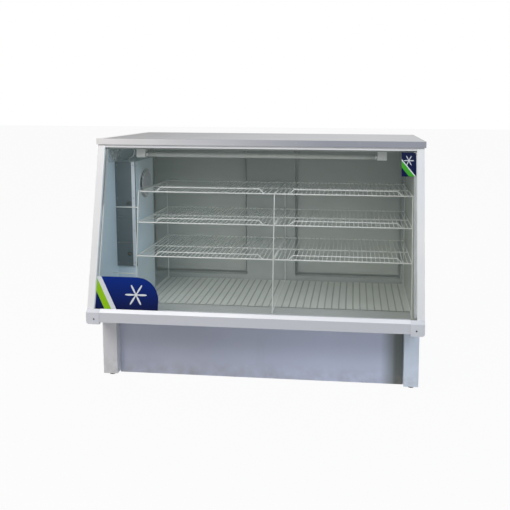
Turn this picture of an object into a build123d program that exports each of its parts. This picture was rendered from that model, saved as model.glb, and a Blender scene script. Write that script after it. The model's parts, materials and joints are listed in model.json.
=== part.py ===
from build123d import *
import math
import os

os.makedirs("parts", exist_ok=True)

# Refrigerated display counter: a cold cabinet with a sloped front glass and a steel worktop.
# X runs along the counter, +Y towards the service side, Z up from the floor, all in mm.
# The origin is on the floor, under the middle of the counter.

# Body
body_length = 1650.0
total_height = 1254.0
body_depth = 611.0
body_bottom = 310.0
panel_thick = 36.0
slope_run = 170.0

# Worktop and roof
worktop_drop = 31.0
worktop_sheet = 1.5
worktop_corner = 8.0
overhang_side = 9.0
overhang_front = 7.0
roof_underside = 1198.0
roof_edge_gap = 1.0
roof_front_set = 28.0

# Bumper rail along the bottom of the glass
bumper_top = 421.0
bumper_bottom = 357.0
bumper_proud = 12.0
bumper_bevel = 15.0
bumper_wall = 2.5
cap_length = 66.0
floor_front_set = 20.0
floor_rake = 100.0
floor_rake_drop = 6.0
cap_bottom = 347.0
cap_proud = 2.0
cap_corner = 14.0
cap_screw_in = 39.0
cap_screw_height = 373.0
cap_screw_radius = 4.5
cap_screw_recess = 4.0
cap_screw_head = 2.6

# Front glass and its channels
glass_thick = 6.0
glass_set = 6.0
glass_seat = 409.5
glass_side_gap = 1.0
top_rail_drop = 15.0
top_rail_depth = 22.0
rail_wall = 2.0
trim_width = 12.0
trim_thick = 4.0

# Insulated floor and back frame
floor_thick = 40.0
upstand_thick = 34.0
upstand_top = 404.0
frame_thick = 52.0
doorway_bottom = 378.0
doorway_top = 1165.0
doorway_outer = 17.0
mullion_left = -170.0
mullion_right = 127.0
doorway_corner = 12.0

# Floor panels
floor_panel_front = 111.0
floor_panel_rear = 547.0
floor_sheet = 1.5
floor_panel_height = 5.5
groove_pitch = 38.0
groove_width = 9.0
groove_flank = 2.5

# Doors
gasket_thick = 8.0
gasket_width = 16.0
door_thick = 38.0
door_lap = 30.0
door_corner = 6.0
door_edge = 3.0
door_dam = 10.0
door_dam_inset = 14.0
hinge_set = 25.0
hinge_back = 12.0
hinge_pin_radius = 4.0
hinge_pin_depth = 15.0
hinge_plate = 4.0
hinge_half_width = 14.0
run_clearance = 0.05
handle_reach = 30.0
handle_length = 180.0
handle_width = 18.0
handle_bar = 10.0
handle_in = 24.0

# Base
foot_height = 15.0
base_inset = 5.0
base_front_reach = 27.0
base_rear_set = 11.0
leg_width = 75.0
base_sheet = 2.0
kick_recess = 40.0
kick_bottom = 5.0
kick_flange = 18.0
foot_plate_width = 95.0
foot_from_side = 35.0
foot_from_end = 38.0
foot_pad_radius = 19.0
foot_neck_radius = 12.0
foot_pad_height = 7.0
foot_pad_sides = 16
stem_radius = 5.0
stem_top = 60.0
nut_across_flats = 17.0
nut_height = 9.0
tray_wall = 24.0
tray_sheet = 1.5
tray_gap = 4.0
plate_inset = 1.0
louvre_rows = 9
louvre_columns = 2
louvre_length = 330.0
louvre_pitch = 24.0
louvre_column_pitch = 400.0
louvre_height = 9.0
louvre_reach = 6.0

# Condensing unit
unit_y = 300.0
compressor_x = 430.0
compressor_radius = 78.0
compressor_height = 178.0
compressor_sides = 28
compressor_plate_x = 190.0
compressor_plate_y = 130.0
compressor_plate_thick = 4.0
grommet_radius = 12.0
grommet_height = 14.0
bolt_radius = 4.0
bolt_reach = 6.0
condenser_x = -60.0
condenser_length = 330.0
condenser_height = 250.0
condenser_depth = 66.0
condenser_rear_gap = 60.0
fin_sheet = 1.2
fin_count = 18
coil_tube_radius = 5.0
coil_tube_reach = 8.0
coil_core_set = 5.0
shroud_depth = 40.0
shroud_sheet = 1.5
cooling_fan_radius = 100.0
fan_tip_gap = 6.0
fan_hub_radius = 22.0
fan_hub_length = 20.0
fan_motor_gap = 8.0
fan_blades = 5
fan_hub_sides = 20
fan_blade_width = 62.0
fan_blade_thick = 1.8
fan_blade_pitch = 26.0
fan_shaft_radius = 4.0
motor_radius = 36.0
motor_length = 52.0
motor_sides = 20
motor_corner = 3.0
motor_arm = 10.0
pipe_radius = 5.0
pipe_bend = 28.0
pipe_sides = 6
pipe_spacing = 26.0
pipe_run_below = 20.0
drain_radius = 9.0
drain_bore = 7.0
drain_pan_size = 150.0
drain_pan_height = 34.0

# Evaporator at the left end of the chamber
evap_width = 109.0
evap_front = 112.0
evap_depth = 248.0
evap_top = 1123.0
evap_sheet = 1.5
cover_bottom = 556.0
cover_flange = 9.0
cover_sheet = 1.5
grommet_high = 903.0
grommet_low = 625.0
grommet_from_face = 38.0
lead_grommet_radius = 8.5
lead_grommet_bore = 4.0
vent_row_high = 824.0
vent_row_low = 685.0
vent_count = 9
vent_pitch = 11.0
vent_radius = 2.0
evap_fan_back = 134.0
evap_fan_height = 990.0
evap_fan_radius = 74.0
guard_radius = 86.0
guard_reach = 10.0
guard_bars = 8
guard_sides = 16
guard_wire = 1.6
evap_fin_count = 16
evap_coil_bottom = 420.0
evap_coil_height = 330.0
evap_coil_depth = 180.0
drip_tray_height = 22.0
drip_tray_wall = 2.0

# Wire rack
rack_left_in = 16.0
rack_mid_x = 69.0
rack_foot = 28.0
rack_lean = 81.0
rack_rear_gap = 14.0
rack_wire = 6.0
rack_rail = 5.4
rack_post_reach = 6.0
shelf_levels = (963.0, 800.0, 623.0)
level_names = ("top", "middle", "bottom")
shelf_bar = 5.0
shelf_wire = 3.2
shelf_pitch = 23.0
shelf_wire_sides = 4
shelf_bar_sides = 6
rack_sides = 8
shelf_cross_share = 0.45
fence_height = 25.0
fence_slant = 25.0
fence_left_in = 92.0
fence_left_out = 140.0
fence_right_in = 77.0
fence_right_out = 51.0
standoff_high = 880.0
standoff_low = 532.0
seat_gap = 0.3
weld_gap = 0.02

# Light
lamp_back = 70.0
lamp_height = 1168.0
lamp_length = 1200.0
lamp_radius = 13.0
lamp_sides = 20
lamp_cap_length = 12.0
lamp_pin_length = 7.0
holder_length = 46.0
holder_width = 34.0
holder_bottom = 1152.0
holder_corner = 6.0

# Controls on the back
control_width = 190.0
control_bottom = 930.0
control_top = 1130.0
control_depth = 26.0
control_edge = 2.5
knob_radius = 19.0
knob_reach = 16.0
knob_flats = 12
knob_height = 1085.0
rocker_width = 20.0
rocker_height = 28.0
rocker_z = 1010.0
rocker_reach = 5.0
rocker_gap = 0.6
gland_z = 955.0
gland_radius = 9.0

# Thin lead from the ceiling to the evaporator
lead_radius = 2.5
lead_sides = 8
lead_points = (
    (-660.0, 60.0, 1198.0), (-660.0, 60.0, 1178.0), (-672.0, 72.0, 1158.0),
    (-692.0, 94.0, 1148.0), (-710.0, 118.0, 1144.0), (-716.0, 126.0, 1138.0), (-716.0, 126.0, 1123.0),
)

# Places worked out from the sizes
half_length = body_length / 2
inner_half = half_length - panel_thick
body_top = total_height - worktop_drop
panel_top = body_top - roof_edge_gap
rear_reach = body_depth + gasket_thick + door_thick + handle_reach
front_reach = slope_run + bumper_proud + cap_proud
front_y = (front_reach - rear_reach) / 2
frame_back = front_y + body_depth
wall_face = frame_back - frame_thick
bumper_face = front_y - slope_run - bumper_proud
floor_top = body_bottom + floor_thick
panel_slope = slope_run / (body_top - bumper_top)
roof_top = total_height - worktop_sheet

base_half = half_length - base_inset
leg_inner = base_half - leg_width
base_front = front_y - base_front_reach
base_back = frame_back - base_rear_set
kick_face = base_front + kick_recess
plate_top = foot_height + base_sheet
tray_front = kick_face + kick_flange + tray_gap
tray_back = base_back - kick_flange - base_sheet - tray_gap
foot_x = base_half - foot_from_side
foot_front_y = base_front + foot_from_end
foot_back_y = base_back - foot_from_end

evap_face = -inner_half + evap_width
evap_front_y = front_y + evap_front
evap_back_y = evap_front_y + evap_depth
evap_mid_y = evap_front_y + evap_fan_back

rack_left_x = evap_face + rack_left_in
rack_right_x = inner_half - rack_wire / 2 - seat_gap
rack_rear_y = wall_face - rack_rear_gap
foot_seat = floor_top + 0.5
floor_panel_top = floor_top + floor_panel_height

doorway_half = inner_half - doorway_outer
door_bottom = doorway_bottom - door_lap
door_top = doorway_top + door_lap
door_inner_y = frame_back + gasket_thick
door_outer_y = door_inner_y + door_thick
hinge_x = doorway_half + hinge_set
hinge_y = door_outer_y - hinge_back
door_edge_x = doorway_half + door_lap + door_lap / 3


def save(piece, label):
    """Label a finished piece and write it."""
    piece.part.label = label
    export_step(piece.part, f"parts/{label}.step")


def slope_y(height):
    """Y of the body's sloped front edge at a height."""
    return front_y - panel_slope * (body_top - height)


def upright_y(height):
    """Y of a rack's front upright at a height."""
    rise = (height - foot_seat) / (shelf_levels[0] - foot_seat)
    return front_y + rack_foot + rack_lean * rise


def block(low, high, mode=Mode.ADD):
    """A box between two corners, added to the piece being built."""
    centre = tuple((a + b) / 2 for a, b in zip(low, high))
    with Locations(centre):
        Box(*[b - a for a, b in zip(low, high)], mode=mode)


def bar_along_x(points, x_low, x_high, mode=Mode.ADD):
    """A profile of (Y, Z) points carried along X."""
    with BuildSketch(Plane.YZ.offset(x_low)) as profile:
        with BuildLine():
            Polyline(*points, close=True)
        make_face()
    extrude(profile.sketch, amount=x_high - x_low, mode=mode)


def rod(start, end, radius, sides=0):
    """A straight round wire, or one with flat sides, between two points."""
    run = Vector(*end) - Vector(*start)
    with BuildSketch(Plane(origin=start, z_dir=run)) as section:
        if sides:
            RegularPolygon(radius, sides)
        else:
            Circle(radius)
    extrude(section.sketch, amount=run.length)


def drum_along_y(x, y, z, radius, length, mode=Mode.ADD):
    """A cylinder along +Y that starts at a point."""
    with BuildSketch(Plane(origin=(x, y, z), z_dir=(0, 1, 0))) as disc:
        Circle(radius)
    extrude(disc.sketch, amount=length, mode=mode)


def drum_along_x(x, y, z, radius, length, mode=Mode.ADD):
    """A cylinder along +X that starts at a point."""
    with BuildSketch(Plane(origin=(x, y, z), z_dir=(1, 0, 0))) as disc:
        Circle(radius)
    extrude(disc.sketch, amount=length, mode=mode)


def drum_along_z(x, y, z, radius, length, mode=Mode.ADD):
    """A cylinder along +Z that starts at a point."""
    with BuildSketch(Plane(origin=(x, y, z))) as disc:
        Circle(radius)
    extrude(disc.sketch, amount=length, mode=mode)


# Base: two folded end pedestals with weld nuts for the feet
def base_end(side):
    outer = side * base_half
    inner = side * leg_inner
    with BuildPart() as pedestal:
        with BuildSketch(Plane.XY.offset(foot_height)) as channel:
            with BuildLine():
                Polyline(
                    (inner, base_front + kick_recess + kick_flange),
                    (inner, base_front),
                    (outer, base_front),
                    (outer, base_back),
                    (inner, base_back),
                    (inner, base_back - kick_recess),
                    (inner + side * base_sheet, base_back - kick_recess),
                    (inner + side * base_sheet, base_back - base_sheet),
                    (outer - side * base_sheet, base_back - base_sheet),
                    (outer - side * base_sheet, base_front + base_sheet),
                    (inner + side * base_sheet, base_front + base_sheet),
                    (inner + side * base_sheet, base_front + kick_recess + kick_flange),
                    close=True,
                )
            make_face()
        extrude(amount=body_bottom - foot_height)
        corners = pedestal.edges().filter_by(Axis.Z).group_by(Axis.X)[0 if side < 0 else -1]
        fillet(corners, radius=base_sheet * 0.9)
        plate_in = outer - side * foot_plate_width
        block(
            (min(outer - side, inner), base_front + plate_inset, foot_height),
            (max(outer - side, inner), base_back - plate_inset, plate_top),
        )
        block(
            (min(outer - side, plate_in), tray_front, foot_height),
            (max(outer - side, plate_in), tray_back, plate_top),
        )
        for y in (foot_front_y, foot_back_y):
            with BuildSketch(Plane(origin=(side * foot_x, y, plate_top))) as nut:
                RegularPolygon(nut_across_flats / 2, 6, major_radius=False)
            extrude(nut.sketch, amount=nut_height)
            drum_along_z(
                side * foot_x, y, foot_height - 1, stem_radius + run_clearance,
                base_sheet + nut_height + 2, Mode.SUBTRACT,
            )
    return pedestal


# Base: levelling foot, a pad with a hexagon above it and a threaded stem
def levelling_foot(x, y):
    with BuildPart() as foot:
        with BuildSketch(Plane(origin=(x, y, 0))) as pad:
            RegularPolygon(foot_pad_radius, foot_pad_sides)
        extrude(pad.sketch, amount=foot_pad_height)
        with BuildSketch(Plane(origin=(x, y, foot_pad_height))) as hexagon:
            RegularPolygon(foot_neck_radius, 6)
        extrude(hexagon.sketch, amount=foot_height - foot_pad_height)
        drum_along_z(x, y, foot_height, stem_radius, stem_top - foot_height)
    return foot


# Base: plain kick panel, a folded sheet between the pedestals' front lips
def kick_panel():
    sheet = base_sheet
    top = body_bottom - sheet
    with BuildPart() as panel:
        bar_along_x(
            (
                (kick_face, kick_bottom), (kick_face, top), (kick_face + kick_flange, top),
                (kick_face + kick_flange, top - sheet), (kick_face + sheet, top - sheet),
                (kick_face + sheet, kick_bottom + sheet),
                (kick_face + kick_flange, kick_bottom + sheet),
                (kick_face + kick_flange, kick_bottom),
            ),
            -leg_inner, leg_inner,
        )
    return panel


# Base: louvred panel on the service side, with a pressed hood over each slot
def rear_grille():
    sheet = base_sheet
    face = base_back - sheet
    top = body_bottom - sheet
    middle = (kick_bottom + top) / 2
    with BuildPart() as panel:
        bar_along_x(
            (
                (face, kick_bottom), (face, top), (face - kick_flange, top),
                (face - kick_flange, top - sheet), (face - sheet, top - sheet),
                (face - sheet, kick_bottom + sheet),
                (face - kick_flange, kick_bottom + sheet),
                (face - kick_flange, kick_bottom),
            ),
            -leg_inner, leg_inner,
        )
        for column in range(louvre_columns):
            x = (column - (louvre_columns - 1) / 2) * louvre_column_pitch
            for row in range(louvre_rows):
                z = middle + (row - (louvre_rows - 1) / 2) * louvre_pitch
                bar_along_x(
                    (
                        (face - sheet, z + louvre_height), (face + louvre_reach, z),
                        (face + louvre_reach - sheet, z - 1), (face - sheet, z + louvre_height - 3),
                    ),
                    x - louvre_length / 2, x + louvre_length / 2,
                )
                block(
                    (x - louvre_length / 2 + sheet, face - sheet - 1, z - 1),
                    (x + louvre_length / 2 - sheet, face + 1, z + louvre_height - 4),
                    Mode.SUBTRACT,
                )
    return panel


# Base: tray that carries the condensing unit
def base_tray():
    with BuildPart() as tray:
        with BuildSketch(Plane.XY.offset(plate_top)) as outline:
            with Locations((0, (tray_front + tray_back) / 2)):
                Rectangle(2 * leg_inner - tray_gap, tray_back - tray_front)
        extrude(outline.sketch, amount=tray_wall)
        offset(
            amount=-tray_sheet,
            openings=tray.faces().sort_by(Axis.Z)[-1],
            kind=Kind.INTERSECTION,
        )
    return tray


tray_floor = plate_top + tray_sheet
plate_low = tray_floor + grommet_height


# Height shares of the compressor's shells, and the radius shares at their lower and upper ends
shell_seam = 0.55
shell_steps = (
    (0.0, 0.08, 0.58, 0.86), (0.08, 0.22, 0.86, 0.97), (0.22, 0.53, 0.97, 0.97),
    (0.53, 0.57, 1.0, 1.0), (0.57, 0.78, 0.94, 0.94), (0.78, 0.92, 0.94, 0.78), (0.92, 1.0, 0.78, 0.42),
)


# Condensing unit: hermetic compressor, two pressed shells on a foot plate
def compressor():
    x = compressor_x
    y = front_y + unit_y
    low = plate_low + compressor_plate_thick
    seam = low + compressor_height * shell_seam
    with BuildPart() as machine:
        with BuildSketch(Plane.XY.offset(plate_low)) as plate:
            with Locations((x, y)):
                RectangleRounded(compressor_plate_x, compressor_plate_y, 18)
                with GridLocations(compressor_plate_x - 40, compressor_plate_y - 36, 2, 2):
                    Circle(bolt_radius + 0.5, mode=Mode.SUBTRACT)
        extrude(plate.sketch, amount=compressor_plate_thick)
        for share_low, share_high, start, end in shell_steps:
            base = low + share_low * compressor_height
            rise = (share_high - share_low) * compressor_height
            with BuildSketch(Plane(origin=(x, y, base))) as ring:
                RegularPolygon(start * compressor_radius, compressor_sides)
            if start == end:
                extrude(ring.sketch, amount=rise)
            else:
                with BuildSketch(Plane(origin=(x, y, base + rise))) as upper:
                    RegularPolygon(end * compressor_radius, compressor_sides)
                loft([ring.sketch.face(), upper.sketch.face()])
        block(
            (x + compressor_radius - 14, y - 26, seam - 46),
            (x + compressor_radius + 22, y + 26, seam + 18),
        )
    return machine


# Condensing unit: rubber mounts with their bolts, one solid each
def compressor_mounts():
    with BuildPart() as mounts:
        with Locations((compressor_x, front_y + unit_y, tray_floor)):
            with GridLocations(compressor_plate_x - 40, compressor_plate_y - 36, 2, 2):
                Cylinder(
                    bolt_radius, grommet_height + compressor_plate_thick + bolt_reach,
                    align=(Align.CENTER, Align.CENTER, Align.MIN),
                )
        with BuildSketch(Plane(origin=(compressor_x, front_y + unit_y, tray_floor))) as pads:
            with GridLocations(compressor_plate_x - 40, compressor_plate_y - 36, 2, 2):
                RegularPolygon(grommet_radius, 12)
        extrude(pads.sketch, amount=grommet_height)
    return mounts


condenser_back = base_back - condenser_rear_gap
condenser_front = condenser_back - condenser_depth
coil_low = tray_floor
fan_x = condenser_x
fan_z = coil_low + condenser_height / 2


def fin_stack(low, high, fins, along, tubes):
    """Thin fins between two corners, round a core that carries them, with tube ends outside."""
    span = high[along] - low[along]
    core_low = [a + coil_core_set for a in low]
    core_high = [b - coil_core_set for b in high]
    core_low[along], core_high[along] = low[along], high[along]
    block(core_low, core_high)
    for index in range(fins):
        at = low[along] + (span - fin_sheet) * index / (fins - 1)
        fin_low = list(low)
        fin_high = list(high)
        fin_low[along] = at
        fin_high[along] = at + fin_sheet
        block(fin_low, fin_high)
    for start, end in tubes:
        run = Vector(*end) - Vector(*start)
        step = run.normalized() * coil_tube_reach
        rod(start, tuple(Vector(*start) + step), coil_tube_radius, sides=8)
        rod(tuple(Vector(*end) - step), end, coil_tube_radius, sides=8)


# Condensing unit: finned condenser with its rows of tubes
def condenser_coil():
    x_low = condenser_x - condenser_length / 2
    x_high = condenser_x + condenser_length / 2
    rows = [coil_low + condenser_height * (k + 0.5) / 5 for k in range(5)]
    mid = (condenser_front + condenser_back) / 2
    with BuildPart() as coil:
        fin_stack(
            (x_low, condenser_front, coil_low), (x_high, condenser_back, coil_low + condenser_height),
            fin_count, 0,
            [((x_low - coil_tube_reach, mid, z), (x_high + coil_tube_reach, mid, z)) for z in rows],
        )
    return coil


# Condensing unit: sheet shroud with a round mouth for the fan
def condenser_shroud():
    x_low = condenser_x - condenser_length / 2
    x_high = condenser_x + condenser_length / 2
    face = condenser_front - shroud_depth
    with BuildPart() as shroud:
        block((x_low, face, coil_low), (x_high, condenser_front, coil_low + condenser_height))
        offset(
            amount=-shroud_sheet,
            openings=shroud.faces().sort_by(Axis.Y)[-1],
            kind=Kind.INTERSECTION,
        )
        drum_along_y(
            fan_x, face - 1, fan_z, cooling_fan_radius + fan_tip_gap, shroud_sheet + 2, Mode.SUBTRACT
        )
    return shroud


blade_back = condenser_front - shroud_depth / 2 + fan_hub_length / 2
motor_face = blade_back - fan_hub_length - fan_motor_gap


def fan_wheel(radius, direction):
    """A hub with pitched blades on a shaft, at the origin, with the shaft along its own -Z."""
    with BuildPart() as wheel:
        with BuildSketch(Plane.XY.offset(-fan_hub_length / 2)) as hub:
            RegularPolygon(fan_hub_radius, fan_hub_sides)
        extrude(hub.sketch, amount=fan_hub_length)
        with PolarLocations(0, fan_blades):
            middle = (radius + fan_hub_radius) / 2 - 2
            reach = radius - fan_hub_radius + 1
            with Locations(Location((middle, 0, 0), (fan_blade_pitch * direction, 0, 0))):
                Box(reach, fan_blade_width * radius / cooling_fan_radius, fan_blade_thick)
        with Locations((0, 0, -fan_hub_length / 2 - 12)):
            Cylinder(fan_shaft_radius, 26)
    return wheel


def motor_body(at_plane, arms_reach):
    """A round motor with a shaft hole, its plane's Z along the shaft, and two side arms."""
    with BuildPart() as motor:
        with BuildSketch(at_plane) as round_face:
            RegularPolygon(motor_radius, motor_sides)
        extrude(round_face.sketch, amount=-motor_length)
        chamfer(motor.faces().sort_by_distance(at_plane.origin)[0].edges(), length=motor_corner)
        with BuildSketch(at_plane.offset(-motor_length * 0.6)) as arms:
            Rectangle(2 * arms_reach, motor_arm)
        extrude(arms.sketch, amount=-motor_arm / 2)
        with BuildSketch(at_plane.offset(1)) as bore:
            Circle(fan_shaft_radius + run_clearance)
        extrude(bore.sketch, amount=-motor_length * 0.5, mode=Mode.SUBTRACT)
    return motor


# Condensing unit: cooling fan motor on an arm that spans the shroud's posts
def condenser_fan_motor():
    plane = Plane(origin=(fan_x, motor_face, fan_z), x_dir=(1, 0, 0), z_dir=(0, 1, 0))
    motor = motor_body(plane, condenser_length / 2)
    arm_back = motor_face - motor_length * 0.6
    with BuildPart() as bracket:
        add(motor.part)
        for side in (-1, 1):
            post_x = fan_x + side * (condenser_length / 2 - motor_arm / 2)
            block(
                (post_x - motor_arm / 2, arm_back - motor_arm / 2, fan_z - motor_arm / 2),
                (post_x + motor_arm / 2, condenser_front - shroud_depth, fan_z + motor_arm / 2),
            )
    return bracket


# Condensing unit: cooling fan blade
def condenser_fan_blade():
    wheel = fan_wheel(cooling_fan_radius, 1)
    plane = Plane(
        origin=(fan_x, blade_back - fan_hub_length / 2, fan_z), x_dir=(1, 0, 0), z_dir=(0, 1, 0)
    )
    with BuildPart() as blade:
        add(plane.location * wheel.part)
    return blade


pipe_x = -inner_half + 42.0
pipe_y = evap_front_y + 60.0
compressor_top = plate_low + compressor_plate_thick + compressor_height
drain_x = evap_face - 40.0
drain_y = evap_back_y - 60.0


# Condensing unit: suction and liquid lines up to the evaporator
def refrigerant_pipes():
    run_z = body_bottom - pipe_run_below
    start_y = front_y + unit_y
    with BuildPart() as pipes:
        for index in range(2):
            x = pipe_x + index * pipe_spacing
            y = pipe_y
            from_x = compressor_x - 25 + index * 50
            height = run_z - index * 20
            with BuildLine() as route:
                FilletPolyline(
                    (from_x, start_y, compressor_top), (from_x, start_y, height),
                    (from_x, y + index * 16, height), (x, y + index * 16, height),
                    (x, y + index * 16, evap_coil_bottom),
                    radius=pipe_bend - 12 * index,
                )
            start = Plane(origin=route.line @ 0, z_dir=route.line % 0)
            with BuildSketch(start) as bore:
                RegularPolygon(pipe_radius, pipe_sides)
            sweep(bore.sketch, path=route.line)
    return pipes


# Condensing unit: pan that catches the defrost water
def drain_pan():
    with BuildPart() as pan:
        block(
            (drain_x - 20, drain_y - drain_pan_size / 2, tray_floor),
            (drain_x - 20 + drain_pan_size, drain_y + drain_pan_size / 2, tray_floor + drain_pan_height),
        )
        offset(amount=-2, openings=pan.faces().sort_by(Axis.Z)[-1], kind=Kind.INTERSECTION)
    return pan


# Body: insulated end panel with the sloped front edge
def end_panel(side):
    outer = side * half_length
    inner = side * inner_half
    front_low = front_y - slope_run
    with BuildPart() as panel:
        bar_along_x(
            (
                (frame_back, body_bottom), (frame_back, panel_top), (slope_y(panel_top), panel_top),
                (front_low, bumper_top), (front_low, bumper_bottom),
                (front_low + floor_front_set + floor_rake, body_bottom),
            ),
            min(outer, inner), max(outer, inner),
        )
        outer_edges = panel.faces().sort_by(Axis.X)[0 if side < 0 else -1].edges()
        fillet(outer_edges, radius=2)
    return panel


# Body: insulated floor with the upstand behind the bumper
def cabinet_floor():
    front = front_y - slope_run + floor_front_set
    rake_top = bumper_bottom - floor_rake_drop
    with BuildPart() as slab:
        bar_along_x(
            (
                (front, rake_top), (front + floor_rake, body_bottom), (wall_face, body_bottom),
                (wall_face, floor_top),
                (front + upstand_thick + 10, floor_top), (front + upstand_thick, floor_top + 10),
                (front + upstand_thick - 8, upstand_top), (front, upstand_top),
            ),
            -inner_half, inner_half,
        )
        drum_along_z(
            drain_x, drain_y, body_bottom - 1, drain_radius + seat_gap, floor_thick + 2, Mode.SUBTRACT
        )
        with BuildSketch(Plane.XY.offset(body_bottom)) as pipe_hole:
            with Locations((pipe_x + pipe_spacing / 2, pipe_y + 8)):
                SlotOverall(pipe_spacing + 4 * pipe_radius + 8, 4 * pipe_radius + 14)
        extrude(pipe_hole.sketch, amount=floor_thick, mode=Mode.SUBTRACT)
    return slab


# Body: swaged floor panel, a sheet pressed into grooves that run front to back
def floor_panel(x_low, x_high):
    """One swaged sheet between two X positions, added to the part being built."""
    grooves = int((x_high - x_low - groove_pitch / 2) / groove_pitch)
    first = (x_low + x_high) / 2 - (grooves - 1) / 2 * groove_pitch
    top = floor_panel_top
    low = floor_top + floor_sheet
    line = [(x_low, top)]
    for index in range(grooves):
        x = first + index * groove_pitch
        line += [
            (x - groove_width / 2, top), (x - groove_width / 2 + groove_flank, low),
            (x + groove_width / 2 - groove_flank, low), (x + groove_width / 2, top),
        ]
    line.append((x_high, top))
    under = [(x, z - floor_sheet) for x, z in reversed(line)]
    back = front_y + floor_panel_rear
    with BuildSketch(Plane(origin=(0, back, 0), x_dir=(1, 0, 0), z_dir=(0, -1, 0))) as section:
        with BuildLine():
            Polyline(*line, *under, close=True)
        make_face()
    extrude(section.sketch, amount=floor_panel_rear - floor_panel_front)


def floor_panels():
    with BuildPart() as panels:
        floor_panel(evap_face + 1, rack_mid_x - 1)
        floor_panel(rack_mid_x + 1, inner_half - 1)
    return panels


# Body: insulated back frame with two doorways and a wide post between them
def rear_frame():
    height = (doorway_bottom + doorway_top) / 2
    with BuildPart() as frame:
        with BuildSketch(Plane(origin=(0, frame_back, 0), x_dir=(1, 0, 0), z_dir=(0, -1, 0))) as wall:
            with Locations((0, (body_bottom + panel_top) / 2)):
                Rectangle(2 * inner_half, panel_top - body_bottom)
            for low, high in ((-doorway_half, mullion_left), (mullion_right, doorway_half)):
                with Locations(((low + high) / 2, height)):
                    RectangleRounded(
                        high - low, doorway_top - doorway_bottom, doorway_corner, mode=Mode.SUBTRACT
                    )
        extrude(wall.sketch, amount=frame_thick)
    return frame


# Body: insulated roof, stepped down between the end panels
def roof_panel():
    low_y = front_y + roof_front_set
    with BuildPart() as roof:
        block(
            (-half_length, front_y - overhang_front + 3, panel_top),
            (half_length, frame_back - 3, roof_top),
        )
        block((-inner_half, low_y, roof_underside), (inner_half, wall_face, panel_top))
    return roof


# Body: folded steel worktop with a turned-down apron
def worktop():
    with BuildPart() as top:
        with BuildSketch(Plane.XY.offset(body_top)) as outline:
            with Locations((0, (front_y - overhang_front + frame_back) / 2)):
                RectangleRounded(
                    body_length + 2 * overhang_side, body_depth + overhang_front, worktop_corner
                )
        extrude(outline.sketch, amount=worktop_drop)
        offset(
            amount=-worktop_sheet,
            openings=top.faces().sort_by(Axis.Z)[0],
            kind=Kind.INTERSECTION,
        )
    return top


# Body: white rail that holds the glass along its top edge
def top_rail():
    low = body_top - top_rail_drop
    high = panel_top
    back = front_y + top_rail_depth
    lip_back = slope_y(low) + glass_set + glass_thick + 6
    with BuildPart() as rail:
        bar_along_x(
            (
                (front_y, low), (front_y, high), (back, high), (back, low), (lip_back, low),
                (lip_back, high - rail_wall), (front_y + rail_wall, high - rail_wall),
                (front_y + rail_wall, low),
            ),
            -inner_half, inner_half,
        )
    return rail


glass_top = panel_top - rail_wall - 1.0
glass_run = glass_thick / math.cos(math.atan(panel_slope))


# Body: fixed front glass, leaning back towards the top
def front_glass():
    low_y = slope_y(glass_seat) + glass_set
    high_y = slope_y(glass_top) + glass_set
    with BuildPart() as glass:
        bar_along_x(
            (
                (low_y, glass_seat), (high_y, glass_top), (high_y + glass_run, glass_top),
                (low_y + glass_run, glass_seat),
            ),
            -inner_half + glass_side_gap, inner_half - glass_side_gap,
        )
    return glass


# Body: seals behind both upright edges of the glass
def glass_trims():
    low = bumper_top + 4
    high = body_top - top_rail_drop - 4
    behind = glass_set + glass_run
    with BuildPart() as trims:
        for side in (-1, 1):
            edge = side * inner_half
            bar_along_x(
                (
                    (slope_y(low) + behind, low), (slope_y(high) + behind, high),
                    (slope_y(high) + behind + trim_thick, high),
                    (slope_y(low) + behind + trim_thick, low),
                ),
                min(edge, edge - side * trim_width), max(edge, edge - side * trim_width),
            )
    return trims


# Body: hollow bumper rail, with the seat for the glass behind its bevel
def bumper_rail():
    back = front_y - slope_run + bumper_wall
    lip = back + 15
    face = bumper_face
    half = half_length - cap_length
    shoulder = bumper_top - bumper_bevel
    with BuildPart() as rail:
        bar_along_x(
            (
                (back - 3, bumper_top), (face, shoulder), (face, bumper_bottom),
                (back + 1, bumper_bottom), (back + 1, glass_seat - bumper_wall),
                (lip, glass_seat - bumper_wall), (lip, bumper_top - 2),
                (lip - bumper_wall, bumper_top - 2), (lip - bumper_wall, glass_seat),
                (back, glass_seat), (back, bumper_top),
            ),
            -half, half,
        )
        bar_along_x(
            (
                (face + bumper_wall, bumper_bottom + bumper_wall),
                (face + bumper_wall, shoulder - 1),
                (back - bumper_wall, bumper_top - 3 * bumper_wall),
                (back - bumper_wall, bumper_bottom + bumper_wall),
            ),
            -half - 1, half + 1, Mode.SUBTRACT,
        )
    return rail


# Body: moulded bumper end cap with a rounded lower corner and a screw recess
def bumper_cap(side):
    """The cap of one end, as a piece of its own."""
    outer = side * half_length
    inner = side * (half_length - cap_length)
    back = front_y - slope_run
    face = bumper_face - cap_proud
    screw_x = side * (half_length - cap_screw_in)
    with BuildPart() as cap:
        bar_along_x(
            (
                (back, bumper_top), (bumper_face + 8, bumper_top), (face, bumper_top - bumper_bevel),
                (face, cap_bottom), (back, cap_bottom),
            ),
            min(outer, inner), max(outer, inner),
        )
        low_corner = (
            cap.edges().filter_by(Axis.Y).group_by(Axis.Z)[0].sort_by(Axis.X)[0 if side < 0 else -1]
        )
        fillet(low_corner, radius=cap_corner)
        drum_along_y(
            screw_x, face - 1, cap_screw_height, cap_screw_radius, cap_screw_recess + 1, Mode.SUBTRACT
        )
    return cap


def bumper_caps():
    with BuildPart() as caps:
        for side in (-1, 1):
            add(bumper_cap(side).part)
    return caps


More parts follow.
